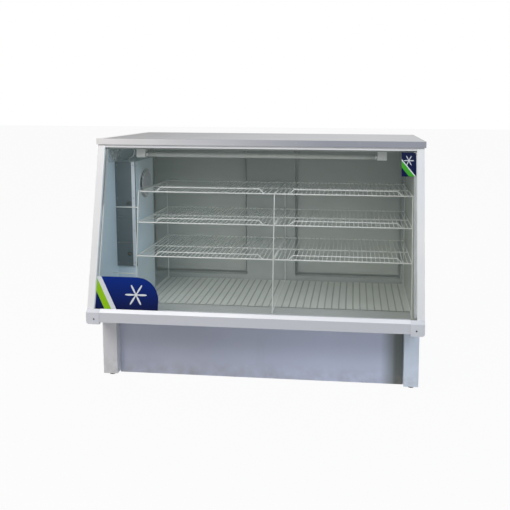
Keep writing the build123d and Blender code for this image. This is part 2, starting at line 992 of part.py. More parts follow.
# Body: countersunk screws of the two caps
def cap_screws():
    face = bumper_face - cap_proud + cap_screw_recess
    with BuildPart() as screws:
        for side in (-1, 1):
            x = side * (half_length - cap_screw_in)
            drum_along_y(x, face - cap_screw_head, cap_screw_height, cap_screw_radius - 0.5, cap_screw_head)
            block(
                (x - 2.6, face - cap_screw_head - 1, cap_screw_height - 0.6),
                (x + 2.6, face - cap_screw_head + 1, cap_screw_height + 0.6),
                Mode.SUBTRACT,
            )
    return screws


evap_wheel_x = evap_face - evap_sheet - 14
evap_motor_x = evap_wheel_x - fan_hub_length / 2 - fan_motor_gap
coil_low_x = -inner_half
coil_high_x = evap_face - 12


# Evaporator: folded housing against the left end panel, open below and behind the fan
def evaporator_housing():
    with BuildPart() as housing:
        block((-inner_half, evap_front_y, floor_top), (evap_face, evap_back_y, evap_top))
        offset(
            amount=-evap_sheet,
            openings=[
                housing.faces().sort_by(Axis.X)[0], housing.faces().sort_by(Axis.Z)[0],
            ],
            kind=Kind.INTERSECTION,
        )
        block(
            (-inner_half + cover_flange, evap_front_y - 1, cover_bottom + cover_flange),
            (evap_face - cover_flange, evap_front_y + evap_sheet + 1, evap_top - cover_flange),
            Mode.SUBTRACT,
        )
        drum_along_x(
            evap_face - evap_sheet - 1, evap_mid_y, evap_fan_height,
            evap_fan_radius + fan_tip_gap, evap_sheet + 2, Mode.SUBTRACT,
        )
    return housing


# Evaporator: dark front cover with folded edges, vent rows and two lead grommet holes
def evaporator_cover():
    grommet_x = evap_face - grommet_from_face
    back = evap_front_y
    middle_x = (-inner_half + evap_face) / 2
    with BuildPart() as cover:
        block(
            (-inner_half + 1, back - cover_flange, cover_bottom), (evap_face, back, evap_top),
        )
        offset(
            amount=-cover_sheet, openings=cover.faces().sort_by(Axis.Y)[-1], kind=Kind.INTERSECTION
        )
        for z in (grommet_high, grommet_low):
            drum_along_y(
                grommet_x, back - cover_flange - 1, z, lead_grommet_radius, cover_sheet + 2,
                Mode.SUBTRACT,
            )
        for z in (vent_row_high, vent_row_low):
            for index in range(vent_count):
                x = middle_x + (index - (vent_count - 1) / 2) * vent_pitch
                block(
                    (x - vent_radius, back - cover_flange - 1, z - vent_radius),
                    (x + vent_radius, back - cover_flange + cover_sheet + 1, z + vent_radius),
                    Mode.SUBTRACT,
                )
    return cover


# Evaporator: two rubber grommets, flanged rings in the cover's holes
def cable_grommets():
    x = evap_face - grommet_from_face
    face = evap_front_y - cover_flange
    with BuildPart() as grommets:
        for z in (grommet_high, grommet_low):
            with BuildSketch(Plane(origin=(x, face - 3, z), z_dir=(0, 1, 0))) as flange:
                RegularPolygon(lead_grommet_radius + 3, 12)
            extrude(flange.sketch, amount=3)
            drum_along_y(x, face, z, lead_grommet_radius, cover_sheet + 1)
            drum_along_y(x, face - 4, z, lead_grommet_bore, cover_sheet + 7, Mode.SUBTRACT)
    return grommets


# Evaporator: finned coil behind the cover
def evaporator_coil():
    low_y = evap_front_y + 20
    high_y = low_y + evap_coil_depth
    rows = [evap_coil_bottom + evap_coil_height * (k + 0.5) / 4 for k in range(4)]
    mid_x = (coil_low_x + coil_high_x) / 2
    with BuildPart() as coil:
        fin_stack(
            (coil_low_x, low_y, evap_coil_bottom), (coil_high_x, high_y, evap_coil_bottom + evap_coil_height),
            evap_fin_count, 1,
            [((mid_x, low_y - coil_tube_reach, z), (mid_x, high_y + coil_tube_reach, z)) for z in rows],
        )
    return coil


# Evaporator: fan motor behind its blade, on an arm that reaches both walls of the housing
def evaporator_fan_motor():
    plane = Plane(origin=(evap_motor_x, evap_mid_y, evap_fan_height), x_dir=(0, 1, 0), z_dir=(1, 0, 0))
    arm_x = evap_motor_x - motor_length * 0.6
    motor = motor_body(plane, motor_radius)
    with BuildPart() as bracket:
        add(motor.part)
        for start, end in (
            (evap_front_y + evap_sheet, evap_mid_y - motor_radius + 4),
            (evap_mid_y + motor_radius - 4, evap_back_y - evap_sheet),
        ):
            block(
                (arm_x - motor_arm / 2, start, evap_fan_height - motor_arm / 2),
                (arm_x + motor_arm / 2, end, evap_fan_height + motor_arm / 2),
            )
    return bracket


# Evaporator: fan blade
def evaporator_fan_blade():
    wheel = fan_wheel(evap_fan_radius, -1)
    plane = Plane(origin=(evap_wheel_x, evap_mid_y, evap_fan_height), x_dir=(0, 1, 0), z_dir=(1, 0, 0))
    with BuildPart() as blade:
        add(plane.location * wheel.part)
    return blade


# Evaporator: domed wire guard, upright bars between two rings
def fan_guard():
    low_ring = evap_face + guard_wire
    top_ring = evap_face + guard_reach
    flat = guard_radius - 2 * guard_reach
    with BuildPart() as guard:
        for x, radius in ((low_ring, guard_radius), (top_ring, flat)):
            with BuildSketch(Plane(origin=(x - guard_wire, evap_mid_y, evap_fan_height),
                                   x_dir=(0, 1, 0), z_dir=(1, 0, 0))) as ring:
                RegularPolygon(radius, guard_sides)
                RegularPolygon(radius - 2 * guard_wire, guard_sides, mode=Mode.SUBTRACT)
            extrude(ring.sketch, amount=2 * guard_wire)
        for index in range(guard_bars):
            share = (index + 0.5) / guard_bars * 2 - 1
            y = evap_mid_y + share * (flat - guard_wire)
            top = math.sqrt((flat - guard_wire) ** 2 - (share * (flat - guard_wire)) ** 2)
            low = math.sqrt((guard_radius - guard_wire) ** 2 - (share * (flat - guard_wire)) ** 2)
            front = top_ring + guard_wire
            bar_half = guard_wire * 0.8
            with BuildSketch(Plane(origin=(0, y + bar_half, 0), x_dir=(1, 0, 0), z_dir=(0, -1, 0))) as bent:
                with BuildLine():
                    Polyline(
                        (low_ring, evap_fan_height - low), (front, evap_fan_height - top),
                        (front, evap_fan_height + top), (low_ring, evap_fan_height + low),
                        (low_ring - guard_wire, evap_fan_height + low),
                        (front - 2 * guard_wire, evap_fan_height + top - guard_wire),
                        (front - 2 * guard_wire, evap_fan_height - top + guard_wire),
                        (low_ring - guard_wire, evap_fan_height - low), close=True,
                    )
                make_face()
            extrude(bent.sketch, amount=2 * bar_half)
    return guard


# Evaporator: drip tray under the coil, with its drain tube down through the floor
def drip_tray():
    with BuildPart() as tray:
        block(
            (-inner_half + 1, evap_front_y + evap_sheet + 1, floor_top),
            (evap_face - evap_sheet - 1, evap_back_y - evap_sheet - 1, floor_top + drip_tray_height),
        )
        offset(
            amount=-drip_tray_wall, openings=tray.faces().sort_by(Axis.Z)[-1], kind=Kind.INTERSECTION
        )
        low = tray_floor + drain_pan_height - 10
        drum_along_z(drain_x, drain_y, low, drain_radius, floor_top + 0.5 - low)
        drum_along_z(drain_x, drain_y, low - 1, drain_bore, floor_top + 4 - low, Mode.SUBTRACT)
        with BuildSketch(Plane.XY.offset(floor_top)) as pipe_hole:
            with Locations((pipe_x + pipe_spacing / 2, pipe_y + 8)):
                SlotOverall(pipe_spacing + 4 * pipe_radius + 8, 4 * pipe_radius + 14)
        extrude(pipe_hole.sketch, amount=drip_tray_height, mode=Mode.SUBTRACT)
    return tray


# Evaporator: thin lead from the roof to the top of the housing
def fan_lead():
    points = [Vector(x, front_y + y, z) for x, y, z in lead_points]
    points[0] = Vector(points[0].X, points[0].Y, roof_underside)
    points[-1] = Vector(points[-1].X, points[-1].Y, evap_top)
    runs = [b - a for a, b in zip(points, points[1:])]
    radii = []
    for before, after in zip(runs, runs[1:]):
        half_turn = math.radians(before.get_angle(after)) / 2
        radii.append(0.45 * min(before.length, after.length) / math.tan(half_turn))
    with BuildPart() as lead:
        with BuildLine() as route:
            FilletPolyline(*points, radius=radii)
        with BuildSketch(Plane(origin=route.line @ 0, z_dir=route.line % 0)) as section:
            RegularPolygon(lead_radius, lead_sides)
        sweep(section.sketch, path=route.line)
    return lead


# Rack: wire side frame with sloped front upright, shelf rails and a floor runner
def rack_side(x, standoffs=False):
    wire = rack_wire / 2
    rail = rack_rail / 2
    runner = floor_panel_top + rail + seat_gap
    top = shelf_levels[0] + rack_post_reach
    with BuildPart() as side:
        rod((x, upright_y(foot_seat), foot_seat), (x, upright_y(top), top), wire, rack_sides)
        rod((x, rack_rear_y, floor_panel_top), (x, rack_rear_y, top), wire, rack_sides)
        rod((x, upright_y(runner), runner), (x, rack_rear_y, runner), rail, rack_sides)
        for level in shelf_levels:
            z = level - shelf_bar / 2 - rail - weld_gap
            rod((x, upright_y(z), z), (x, rack_rear_y, z), rail, rack_sides)
        if standoffs:
            for z in (standoff_high, standoff_low):
                rod((x, upright_y(z), z), (-inner_half, upright_y(z), z), rail, rack_sides)
    return side


# Rack: wire shelf, wires front to back on bars, with an upright front fence
def wire_shelf(x_low, x_high, level, fence_low, fence_high):
    bar = shelf_bar / 2
    front = upright_y(level) + rack_wire / 2 + bar + seat_gap
    back = rack_rear_y - rack_wire / 2 - bar - seat_gap
    cross = front + shelf_cross_share * (back - front)
    count = int((x_high - x_low - shelf_pitch) / shelf_pitch)
    first = (x_low + x_high) / 2 - (count - 1) / 2 * shelf_pitch
    wire_z = level + bar + shelf_wire / 2 * math.cos(math.pi / shelf_wire_sides) + weld_gap
    with BuildPart() as shelf:
        for y in (front, cross, back):
            rod((x_low, y, level), (x_high, y, level), bar, shelf_bar_sides)
        for x in (x_low + bar, x_high - bar):
            rod((x, front - bar, level), (x, back + bar, level), bar, shelf_bar_sides)
        fence = (
            (fence_low, front, level), (fence_low + fence_slant, front, level + fence_height),
            (fence_high - fence_slant, front, level + fence_height), (fence_high, front, level),
        )
        for start, end in zip(fence, fence[1:]):
            rod(start, end, bar * 0.8, shelf_bar_sides)
        for index in range(count):
            x = first + index * shelf_pitch
            rod((x, front + bar + 1, wire_z), (x, back + bar, wire_z), shelf_wire / 2, shelf_wire_sides)
    return shelf


# Light: two lampholders that hang from the roof, and the tube between them
def lampholders():
    y = front_y + lamp_back
    with BuildPart() as holders:
        for side in (-1, 1):
            near = side * lamp_length / 2
            far = near + side * holder_length
            block(
                (min(near, far), y - holder_width / 2, holder_bottom),
                (max(near, far), y + holder_width / 2, roof_underside),
            )
            lower = holders.edges().filter_by(Axis.X).group_by(Axis.Z)[0]
        chamfer(lower, length=holder_corner)
        for side in (-1, 1):
            near = side * lamp_length / 2
            start = near - 1 if side > 0 else near - lamp_pin_length
            for shift in (-1, 1):
                drum_along_x(
                    start, y + shift * 6.35, lamp_height, 1.6, lamp_pin_length + 1, Mode.SUBTRACT
                )
    return holders


def light_tube():
    y = front_y + lamp_back
    half = lamp_length / 2 - 0.3
    with BuildPart() as tube:
        with BuildSketch(Plane(origin=(-half, y, lamp_height), z_dir=(1, 0, 0))) as round_tube:
            RegularPolygon(lamp_radius - 0.6, lamp_sides)
        extrude(round_tube.sketch, amount=2 * half)
        for side in (-1, 1):
            start = -half if side < 0 else half - lamp_cap_length
            with BuildSketch(Plane(origin=(start, y, lamp_height), z_dir=(1, 0, 0))) as metal_cap:
                RegularPolygon(lamp_radius, lamp_sides)
            extrude(metal_cap.sketch, amount=lamp_cap_length)
            pin_start = -half - lamp_pin_length + 1 if side < 0 else half - 1
            for shift in (-1, 1):
                drum_along_x(pin_start, y + shift * 6.35, lamp_height, 1.2, lamp_pin_length)
    return tube


def door_span(side):
    """X of the door's hinge edge and of its free edge."""
    free = mullion_left + door_lap if side < 0 else mullion_right - door_lap
    return side * door_edge_x, free


# Doors: insulated slab with a raised dam on the inside and bores for the hinge pins
def door(side):
    hinge_edge, free_edge = door_span(side)
    low_x, high_x = min(hinge_edge, free_edge), max(hinge_edge, free_edge)
    way_low, way_high = (-doorway_half, mullion_left) if side < 0 else (mullion_right, doorway_half)
    with BuildPart() as slab:
        with BuildSketch(Plane(origin=(0, door_inner_y, 0), x_dir=(-1, 0, 0), z_dir=(0, 1, 0))) as face:
            with Locations((-(low_x + high_x) / 2, (door_bottom + door_top) / 2)):
                RectangleRounded(high_x - low_x, door_top - door_bottom, door_corner)
        extrude(face.sketch, amount=door_thick)
        chamfer(slab.faces().sort_by(Axis.Y)[-1].edges(), length=door_edge)
        with BuildSketch(Plane(origin=(0, door_inner_y, 0), x_dir=(1, 0, 0), z_dir=(0, -1, 0))) as dam:
            with Locations(((way_low + way_high) / 2, (doorway_bottom + doorway_top) / 2)):
                RectangleRounded(
                    way_high - way_low - 2 * door_dam_inset,
                    doorway_top - doorway_bottom - 2 * door_dam_inset, doorway_corner,
                )
        extrude(dam.sketch, amount=gasket_thick + door_dam)
        for z in (door_bottom - 1, door_top - hinge_pin_depth - 1):
            drum_along_z(
                side * hinge_x, hinge_y, z, hinge_pin_radius + run_clearance, hinge_pin_depth + 2,
                Mode.SUBTRACT,
            )
    return slab


# Doors: soft gasket ring on the door, lying on the back frame
def door_gasket(side):
    way_low, way_high = (-doorway_half, mullion_left) if side < 0 else (mullion_right, doorway_half)
    margin = hinge_set - 2
    outer_x = way_high - way_low + 2 * margin
    outer_z = doorway_top - doorway_bottom + 2 * margin
    with BuildPart() as ring:
        with BuildSketch(
            Plane(origin=(0, door_inner_y, 0), x_dir=(1, 0, 0), z_dir=(0, -1, 0))
        ) as face:
            with Locations(((way_low + way_high) / 2, (doorway_bottom + doorway_top) / 2)):
                Rectangle(outer_x, outer_z)
                Rectangle(outer_x - 2 * gasket_width, outer_z - 2 * gasket_width, mode=Mode.SUBTRACT)
        extrude(face.sketch, amount=gasket_thick - seat_gap)
    return ring


# Doors: bow handle on the free side
def door_handle(side):
    _, free_edge = door_span(side)
    x = free_edge + side * (handle_in + handle_width / 2)
    middle = (door_bottom + door_top) / 2
    low = middle - handle_length / 2
    high = middle + handle_length / 2
    face = door_outer_y
    out = door_outer_y + handle_reach
    slant = handle_reach * 0.6
    with BuildPart() as bow:
        bar_along_x(
            (
                (face, low), (face, low + handle_bar * 2), (out - handle_bar, low + slant + handle_bar),
                (out - handle_bar, high - slant - handle_bar), (face, high - handle_bar * 2),
                (face, high), (out, high - slant), (out, low + slant),
            ),
            x - handle_width / 2, x + handle_width / 2,
        )
        outer_bends = bow.edges().filter_by(Axis.X).group_by(Axis.Y)[-1]
        fillet(outer_bends, radius=6)
    return bow


# Doors: four hinge plates with their pins, fixed to the back frame
def hinge_brackets():
    with BuildPart() as brackets:
        for side in (-1, 1):
            x = side * hinge_x
            for z, up in ((door_top + seat_gap, -1), (door_bottom - seat_gap - hinge_plate, 1)):
                block(
                    (x - hinge_half_width, frame_back, z),
                    (x + hinge_half_width, hinge_y + hinge_half_width * 0.8, z + hinge_plate),
                )
                ear_low = z - 22 if up > 0 else z + hinge_plate
                block(
                    (x - hinge_half_width, frame_back, ear_low),
                    (x + hinge_half_width, frame_back + hinge_plate, ear_low + 22),
                )
                pin_low = z + hinge_plate if up > 0 else z - hinge_pin_depth
                drum_along_z(x, hinge_y, pin_low - 0.5, hinge_pin_radius, hinge_pin_depth + 1)
    return brackets


control_x = (mullion_left + mullion_right) / 2
control_face = frame_back + control_depth


# Controls: box on the post between the doors
def control_panel():
    low_x = control_x - control_width / 2
    with BuildPart() as box:
        block(
            (low_x, frame_back, control_bottom),
            (low_x + control_width, control_face, control_top),
        )
        chamfer(box.faces().sort_by(Axis.Y)[-1].edges(), length=control_edge)
        block(
            (control_x - rocker_width / 2 - rocker_gap, control_face - 14,
             rocker_z - rocker_height / 2 - rocker_gap),
            (control_x + rocker_width / 2 + rocker_gap, control_face + 1,
             rocker_z + rocker_height / 2 + rocker_gap),
            Mode.SUBTRACT,
        )
        drum_along_y(
            control_x, control_face - 12, knob_height, fan_shaft_radius + run_clearance, 13,
            Mode.SUBTRACT,
        )
        drum_along_z(control_x, frame_back + control_depth / 2, control_bottom - 12, gland_radius, 13)
        drum_along_z(
            control_x, frame_back + control_depth / 2, control_bottom - 13, gland_radius - 4, 12,
            Mode.SUBTRACT,
        )
    return box


# Controls: thermostat knob with grip flutes and a pointer
def thermostat_knob():
    with BuildPart() as knob:
        with BuildSketch(
            Plane(origin=(control_x, control_face + seat_gap, knob_height), z_dir=(0, 1, 0))
        ) as grip:
            RegularPolygon(knob_radius, knob_flats)
        extrude(grip.sketch, amount=knob_reach)
        chamfer(knob.faces().sort_by(Axis.Y)[-1].edges(), length=1.5)
        drum_along_y(control_x, control_face - 11, knob_height, fan_shaft_radius, 12)
        block(
            (control_x - 1, control_face + knob_reach - 0.6, knob_height + 4),
            (control_x + 1, control_face + knob_reach + 1, knob_height + knob_radius - 2),
            Mode.SUBTRACT,
        )
    return knob


# Controls: rocker switch of the light, tilted about its middle
def light_switch():
    face = control_face + rocker_reach
    half = rocker_height / 2
    with BuildPart() as rocker:
        bar_along_x(
            (
                (control_face - 6, rocker_z - half + 3), (control_face - 1, rocker_z - half + 1),
                (face - 2.4, rocker_z - half + 1), (face - 1.6, rocker_z), (face, rocker_z + half - 1),
                (control_face - 1, rocker_z + half - 1), (control_face - 6, rocker_z + half - 3),
            ),
            control_x - rocker_width / 2, control_x + rocker_width / 2,
        )
    return rocker


# Write every piece
save(base_end(-1), "base_end_left")
save(base_end(1), "base_end_right")
save(kick_panel(), "kick_panel")
save(rear_grille(), "rear_grille")
save(base_tray(), "base_tray")
for place, foot_y in (("front", foot_front_y), ("back", foot_back_y)):
    for hand, sign in (("left", -1), ("right", 1)):
        save(levelling_foot(sign * foot_x, foot_y), f"levelling_foot_{place}_{hand}")
save(compressor(), "compressor")
save(compressor_mounts(), "compressor_mounts")
save(condenser_coil(), "condenser_coil")
save(condenser_shroud(), "condenser_shroud")
save(condenser_fan_motor(), "condenser_fan_motor")
save(condenser_fan_blade(), "condenser_fan_blade")
save(refrigerant_pipes(), "refrigerant_pipes")
save(drain_pan(), "drain_pan")

save(end_panel(-1), "end_panel_left")
save(end_panel(1), "end_panel_right")
save(cabinet_floor(), "cabinet_floor")
save(floor_panels(), "floor_panels")
save(rear_frame(), "rear_frame")
save(roof_panel(), "roof_panel")
save(worktop(), "worktop")
save(top_rail(), "top_rail")
save(front_glass(), "front_glass")
save(glass_trims(), "glass_trims")
save(bumper_rail(), "bumper_rail")
save(bumper_caps(), "bumper_caps")
save(cap_screws(), "cap_screws")

save(evaporator_housing(), "evaporator_housing")
save(evaporator_cover(), "evaporator_cover")
save(cable_grommets(), "cable_grommets")
save(evaporator_coil(), "evaporator_coil")
save(evaporator_fan_motor(), "evaporator_fan_motor")
save(evaporator_fan_blade(), "evaporator_fan_blade")
save(fan_guard(), "fan_guard")
save(drip_tray(), "drip_tray")
save(fan_lead(), "fan_lead")

save(rack_side(rack_left_x, standoffs=True), "rack_side_left")
save(rack_side(rack_mid_x), "rack_side_middle")
save(rack_side(rack_right_x), "rack_side_right")
for shelf_level, level_name in zip(shelf_levels, level_names):
    save(
        wire_shelf(
            rack_left_x - 1, rack_mid_x - 0.5, shelf_level,
            rack_left_x + fence_left_in, rack_mid_x - fence_left_out,
        ),
        f"shelf_left_{level_name}",
    )
    save(
        wire_shelf(
            rack_mid_x + 0.5, rack_right_x + 1, shelf_level,
            rack_mid_x + fence_right_in, rack_right_x - fence_right_out,
        ),
        f"shelf_right_{level_name}",
    )
save(lampholders(), "lampholders")
save(light_tube(), "light_tube")

for hand, sign in (("left", -1), ("right", 1)):
    save(door(sign), f"door_{hand}")
    save(door_gasket(sign), f"door_gasket_{hand}")
    save(door_handle(sign), f"door_handle_{hand}")
save(hinge_brackets(), "hinge_brackets")
save(control_panel(), "control_panel")
save(thermostat_knob(), "thermostat_knob")
save(light_switch(), "light_switch")
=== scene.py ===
"""Looks, light and camera of the refrigerated display counter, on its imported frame."""

import json
import logging
from dataclasses import dataclass, replace
from enum import Enum
from typing import Any, Sequence

import bmesh
import bpy
import numpy as np
from mathutils import Matrix, Vector

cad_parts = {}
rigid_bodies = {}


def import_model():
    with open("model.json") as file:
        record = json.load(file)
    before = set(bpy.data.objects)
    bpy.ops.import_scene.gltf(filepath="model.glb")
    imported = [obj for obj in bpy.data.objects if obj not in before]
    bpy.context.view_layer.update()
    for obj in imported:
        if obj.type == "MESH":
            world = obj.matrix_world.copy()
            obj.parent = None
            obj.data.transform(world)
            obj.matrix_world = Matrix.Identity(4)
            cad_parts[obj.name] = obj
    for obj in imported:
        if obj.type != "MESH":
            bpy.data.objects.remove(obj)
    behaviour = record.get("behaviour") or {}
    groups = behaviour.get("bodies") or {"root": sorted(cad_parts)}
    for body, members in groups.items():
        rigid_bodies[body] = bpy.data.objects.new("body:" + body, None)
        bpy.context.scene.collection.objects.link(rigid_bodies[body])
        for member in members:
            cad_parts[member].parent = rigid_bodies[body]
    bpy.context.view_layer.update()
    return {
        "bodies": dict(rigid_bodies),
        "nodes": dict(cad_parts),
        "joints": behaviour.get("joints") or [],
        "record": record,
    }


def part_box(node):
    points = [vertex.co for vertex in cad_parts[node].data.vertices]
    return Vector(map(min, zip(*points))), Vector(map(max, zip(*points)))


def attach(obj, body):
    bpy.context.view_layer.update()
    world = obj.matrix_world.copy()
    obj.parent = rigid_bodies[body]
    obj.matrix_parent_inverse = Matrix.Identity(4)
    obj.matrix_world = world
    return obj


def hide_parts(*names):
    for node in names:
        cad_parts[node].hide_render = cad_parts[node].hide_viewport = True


LOG = logging.getLogger("display_counter")
Colour = tuple[float, float, float]
Array = np.ndarray
Pair = tuple[float, float]
Point = Sequence[float]


def ink(code: str) -> Colour:
    """Linear colour of a display colour.

    Args:
        code: Its red, green and blue as six hexadecimal digits.

    Returns:
        The colour, from nought to one.
    """
    share = np.array(list(bytes.fromhex(code))) / 255.0
    linear = np.where(share <= 0.04045, share / 12.92, ((share + 0.055) / 1.055) ** 2.4)
    return tuple(float(value) for value in linear)


class Axis(Enum):
    """The axes of the counter: along it, towards the service side, and up."""

    ALONG = 0
    BACK = 1
    UP = 2


class Value:
    """A shader output on which arithmetic adds Math nodes."""

    def __init__(self, graph: "Graph", socket: bpy.types.NodeSocket) -> None:
        """Keep the output and the graph that it belongs to."""
        self.graph = graph
        self.socket = socket

    def math(self, operation: str, *others: Any, swap: bool = False) -> "Value":
        """Add one Math node.

        Args:
            operation: The node's operation.
            others: The further operands, as numbers or outputs.
            swap: Whether this output is the second operand.

        Returns:
            The node's result.
        """
        operands = [*others, self] if swap else [self, *others]
        return self.graph.node("ShaderNodeMath", {"operation": operation}, dict(enumerate(operands)))

    def __add__(self, other: Any) -> "Value":
        """Sum."""
        return self.math("ADD", other)

    def __sub__(self, other: Any) -> "Value":
        """Difference."""
        return self.math("SUBTRACT", other)

    def __rsub__(self, other: Any) -> "Value":
        """Difference, reflected."""
        return self.math("SUBTRACT", other, swap=True)

    def __mul__(self, other: Any) -> "Value":
        """Product."""
        return self.math("MULTIPLY", other)

    def __pow__(self, other: Any) -> "Value":
        """Power."""
        return self.math("POWER", other)

    def __abs__(self) -> "Value":
        """Size without its sign."""
        return self.math("ABSOLUTE")

    __radd__ = __add__
    __rmul__ = __mul__

    def above(self, limit: Any) -> "Value":
        """One where this is more than the limit, else nought."""
        return self.math("GREATER_THAN", limit)

    def below(self, limit: Any) -> "Value":
        """One where this is less than the limit, else nought."""
        return self.math("LESS_THAN", limit)

    def ramp(self, low: float, high: float) -> "Value":
        """Nought at low, one at high, straight between and held outside."""
        return self.graph.node(
            "ShaderNodeMapRange", {"clamp": True}, {"Value": self, "From Min": low, "From Max": high}
        )


class Graph:
    """The node tree of one material or world."""

    def __init__(self, name: str, world: bool = False) -> None:
        """Start an empty tree.

        Args:
            name: The name of the material or world.
            world: Whether it is a world.
        """
        self.output = "ShaderNodeOutputWorld" if world else "ShaderNodeOutputMaterial"
        self.owner = (bpy.data.worlds if world else bpy.data.materials).new(name)
        self.owner.use_nodes = True
        self.tree = self.owner.node_tree
        self.tree.nodes.clear()

    def node(self, kind: str, settings: dict[str, Any], inputs: dict[Any, Any], out: Any = 0) -> Value:
        """Add a node of any type.

        Args:
            kind: The node's type.
            settings: Its properties, which are set first.
            inputs: Values or outputs by socket name or number.
            out: The output to return, by name or number.

        Returns:
            The chosen output.
        """
        made = self.tree.nodes.new(kind)
        for key, value in settings.items():
            setattr(made, key, value)
        for key, value in inputs.items():
            socket = made.inputs[key]
            if isinstance(value, Value):
                self.tree.links.new(value.socket, socket)
            elif isinstance(value, tuple) and len(value) == 3 and socket.type == "RGBA":
                socket.default_value = (*value, 1.0)
            else:
                socket.default_value = value
        return Value(self, made.outputs[out])

    def place(self, kind: str = "Object") -> Value:
        """Object coordinates in metres, or the piece's own UV map."""
        return self.node("ShaderNodeTexCoord", {}, {}, kind)

    def part(self, vector: Value, axis: Axis) -> Value:
        """One coordinate of a vector."""
        return self.node("ShaderNodeSeparateXYZ", {}, {0: vector}, axis.value)

    def coordinate(self, axis: Axis) -> Value:
        """One object coordinate in metres."""
        return self.part(self.place(), axis)

    def noise(self, scale: float, detail: float = 2.0, stretch: Colour = (1.0, 1.0, 1.0)) -> Value:
        """Cloudy noise from nought to one.

        Args:
            scale: Cells in a metre.
            detail: How many finer layers are added.
            stretch: Factors on the three axes, below one for long streaks.

        Returns:
            The noise.
        """
        place = self.node("ShaderNodeMapping", {}, {"Vector": self.place(), "Scale": stretch})
        return self.node(
            "ShaderNodeTexNoise", {}, {"Vector": place, "Scale": scale, "Detail": detail}, "Fac"
        )

    def blend(self, share: Any, first: Any, second: Any) -> Value:
        """A colour between two, at a share from nought to one."""
        return self.node("ShaderNodeMix", {"data_type": "RGBA"}, {0: share, 6: first, 7: second}, 2)

    def relief(self, height: Value, depth: float, strength: float = 1.0) -> Value:
        """A bumped normal from a height of that many metres."""
        return self.node("ShaderNodeBump", {}, {"Height": height, "Distance": depth, "Strength": strength})

    def seen(self) -> Value:
        """One for rays from the eye, from a reflection or through glass, else nought."""
        camera, glossy, passed = (self.node("ShaderNodeLightPath", {}, {}, f"Is {kind} Ray")
                                  for kind in ("Camera", "Glossy", "Transmission"))
        return camera.math("MAXIMUM", glossy).math("MAXIMUM", passed)

    def close(self, shader: Value) -> Any:
        """Feed the tree's output.

        Args:
            shader: The shader to feed it from.

        Returns:
            The material or world that the tree belongs to.
        """
        output = self.tree.nodes.new(self.output)
        self.tree.links.new(shader.socket, output.inputs["Surface"])
        return self.owner

    def finish(self, inputs: dict[str, Any]) -> bpy.types.Material:
        """Close the tree with a Principled shader.

        Args:
            inputs: The shader's values and links by socket name.

        Returns:
            The finished material.
        """
        return self.close(self.node("ShaderNodeBsdfPrincipled", {}, inputs))


@dataclass(frozen=True)
class Zone:
    """A change of colour along one axis, from one place to another.

    Where front_of is given, only what lies in front of that place is changed.
    """

    axis: Axis
    start: float
    end: float
    colour: Colour
    front_of: float | None = None

    def over(self, graph: Graph, colour: Value) -> Value:
        """Blend the zone's colour over another.

        Args:
            graph: The material's graph.
            colour: The colour below.

        Returns:
            The blended colour.
        """
        share = graph.coordinate(self.axis).ramp(self.start, self.end)
        if self.front_of is not None:
            share = share * graph.coordinate(Axis.BACK).below(self.front_of)
        return graph.blend(share, colour, self.colour)


@dataclass(frozen=True)
class Finish:
    """What every finish has: a name and a way to build its material."""

    name: str

    def material(self) -> bpy.types.Material:
        """Build the material."""
        raise NotImplementedError


@dataclass(frozen=True)
class PaintedSheet(Finish):
    """Powder paint on folded sheet, with a fine orange peel and faint grime."""

    colour: Colour
    shade: Colour
    roughness: float = 0.38
    grime_height: float = 0.0
    grime: Colour = ink("96928a")
    zones: tuple[Zone, ...] = ()

    def material(self) -> bpy.types.Material:
        """Build the paint's material.

        Returns:
            The material.
        """
        graph = Graph(self.name)
        cloud = graph.noise(3.2, 3.0).ramp(0.3, 0.75)
        peel = graph.noise(520.0, 1.0)
        rubs = graph.noise(14.0, 4.0, (1.0, 1.0, 0.25)).ramp(0.62, 0.8)
        colour = graph.blend(cloud, self.colour, self.shade)
        for zone in self.zones:
            colour = zone.over(graph, colour)
        colour = graph.blend(rubs * 0.09, colour, self.grime)
        if self.grime_height:
            height = graph.coordinate(Axis.UP)
            dust = (1.0 - height.ramp(0.0, self.grime_height)) * graph.noise(24.0, 5.0).ramp(0.35, 0.8)
            colour = graph.blend(dust * 0.55, colour, self.grime)
        return graph.finish({
            "Base Color": colour,
            "Roughness": self.roughness + (cloud - 0.5) * 0.10 + rubs * 0.12,
            "Specular IOR Level": 0.5,
            "Normal": graph.relief(peel, 0.00012, 0.5),
        })


@dataclass(frozen=True)
class BrushedSteel(Finish):
    """Stainless sheet brushed along one axis, with rubbed marks."""

    colour: Colour
    shade: Colour
    streak: Colour = (0.01, 1.0, 1.0)
    roughness: float = 0.34
    metallic: float = 1.0
    zones: tuple[Zone, ...] = ()
    top_from: float = 0.0
    top_reflection_zones: tuple[Zone, ...] = ()

    def material(self) -> bpy.types.Material:
        """Build the steel's material.

        Returns:
            The material.
        """
        graph = Graph(self.name)
        brush = graph.noise(700.0, 2.0, self.streak)
        bands = graph.noise(60.0, 2.0, self.streak)
        smear = graph.noise(7.0, 4.0).ramp(0.4, 0.75)
        marks = graph.noise(38.0, 5.0).ramp(0.66, 0.78)
        colour = graph.blend(bands * 0.6 + brush * 0.3, self.colour, self.shade)
        # Zones along the sheet paint reflections into its colour.
        for zone in self.zones:
            colour = zone.over(graph, colour)
        # The upper face gets its own colour zones above top_from: a painted reflection.
        if self.top_from:
            top = colour
            for zone in self.top_reflection_zones:
                top = zone.over(graph, top)
            colour = graph.blend(graph.coordinate(Axis.UP).above(self.top_from), colour, top)
        return graph.finish({
            "Base Color": graph.blend(marks * 0.25, colour, ink("cdcfd2")),
            "Metallic": self.metallic,
            "Roughness": self.roughness + (brush - 0.5) * 0.16 + smear * 0.08 + marks * 0.12,
            "Normal": graph.relief(brush, 0.00006, 0.45),
        })


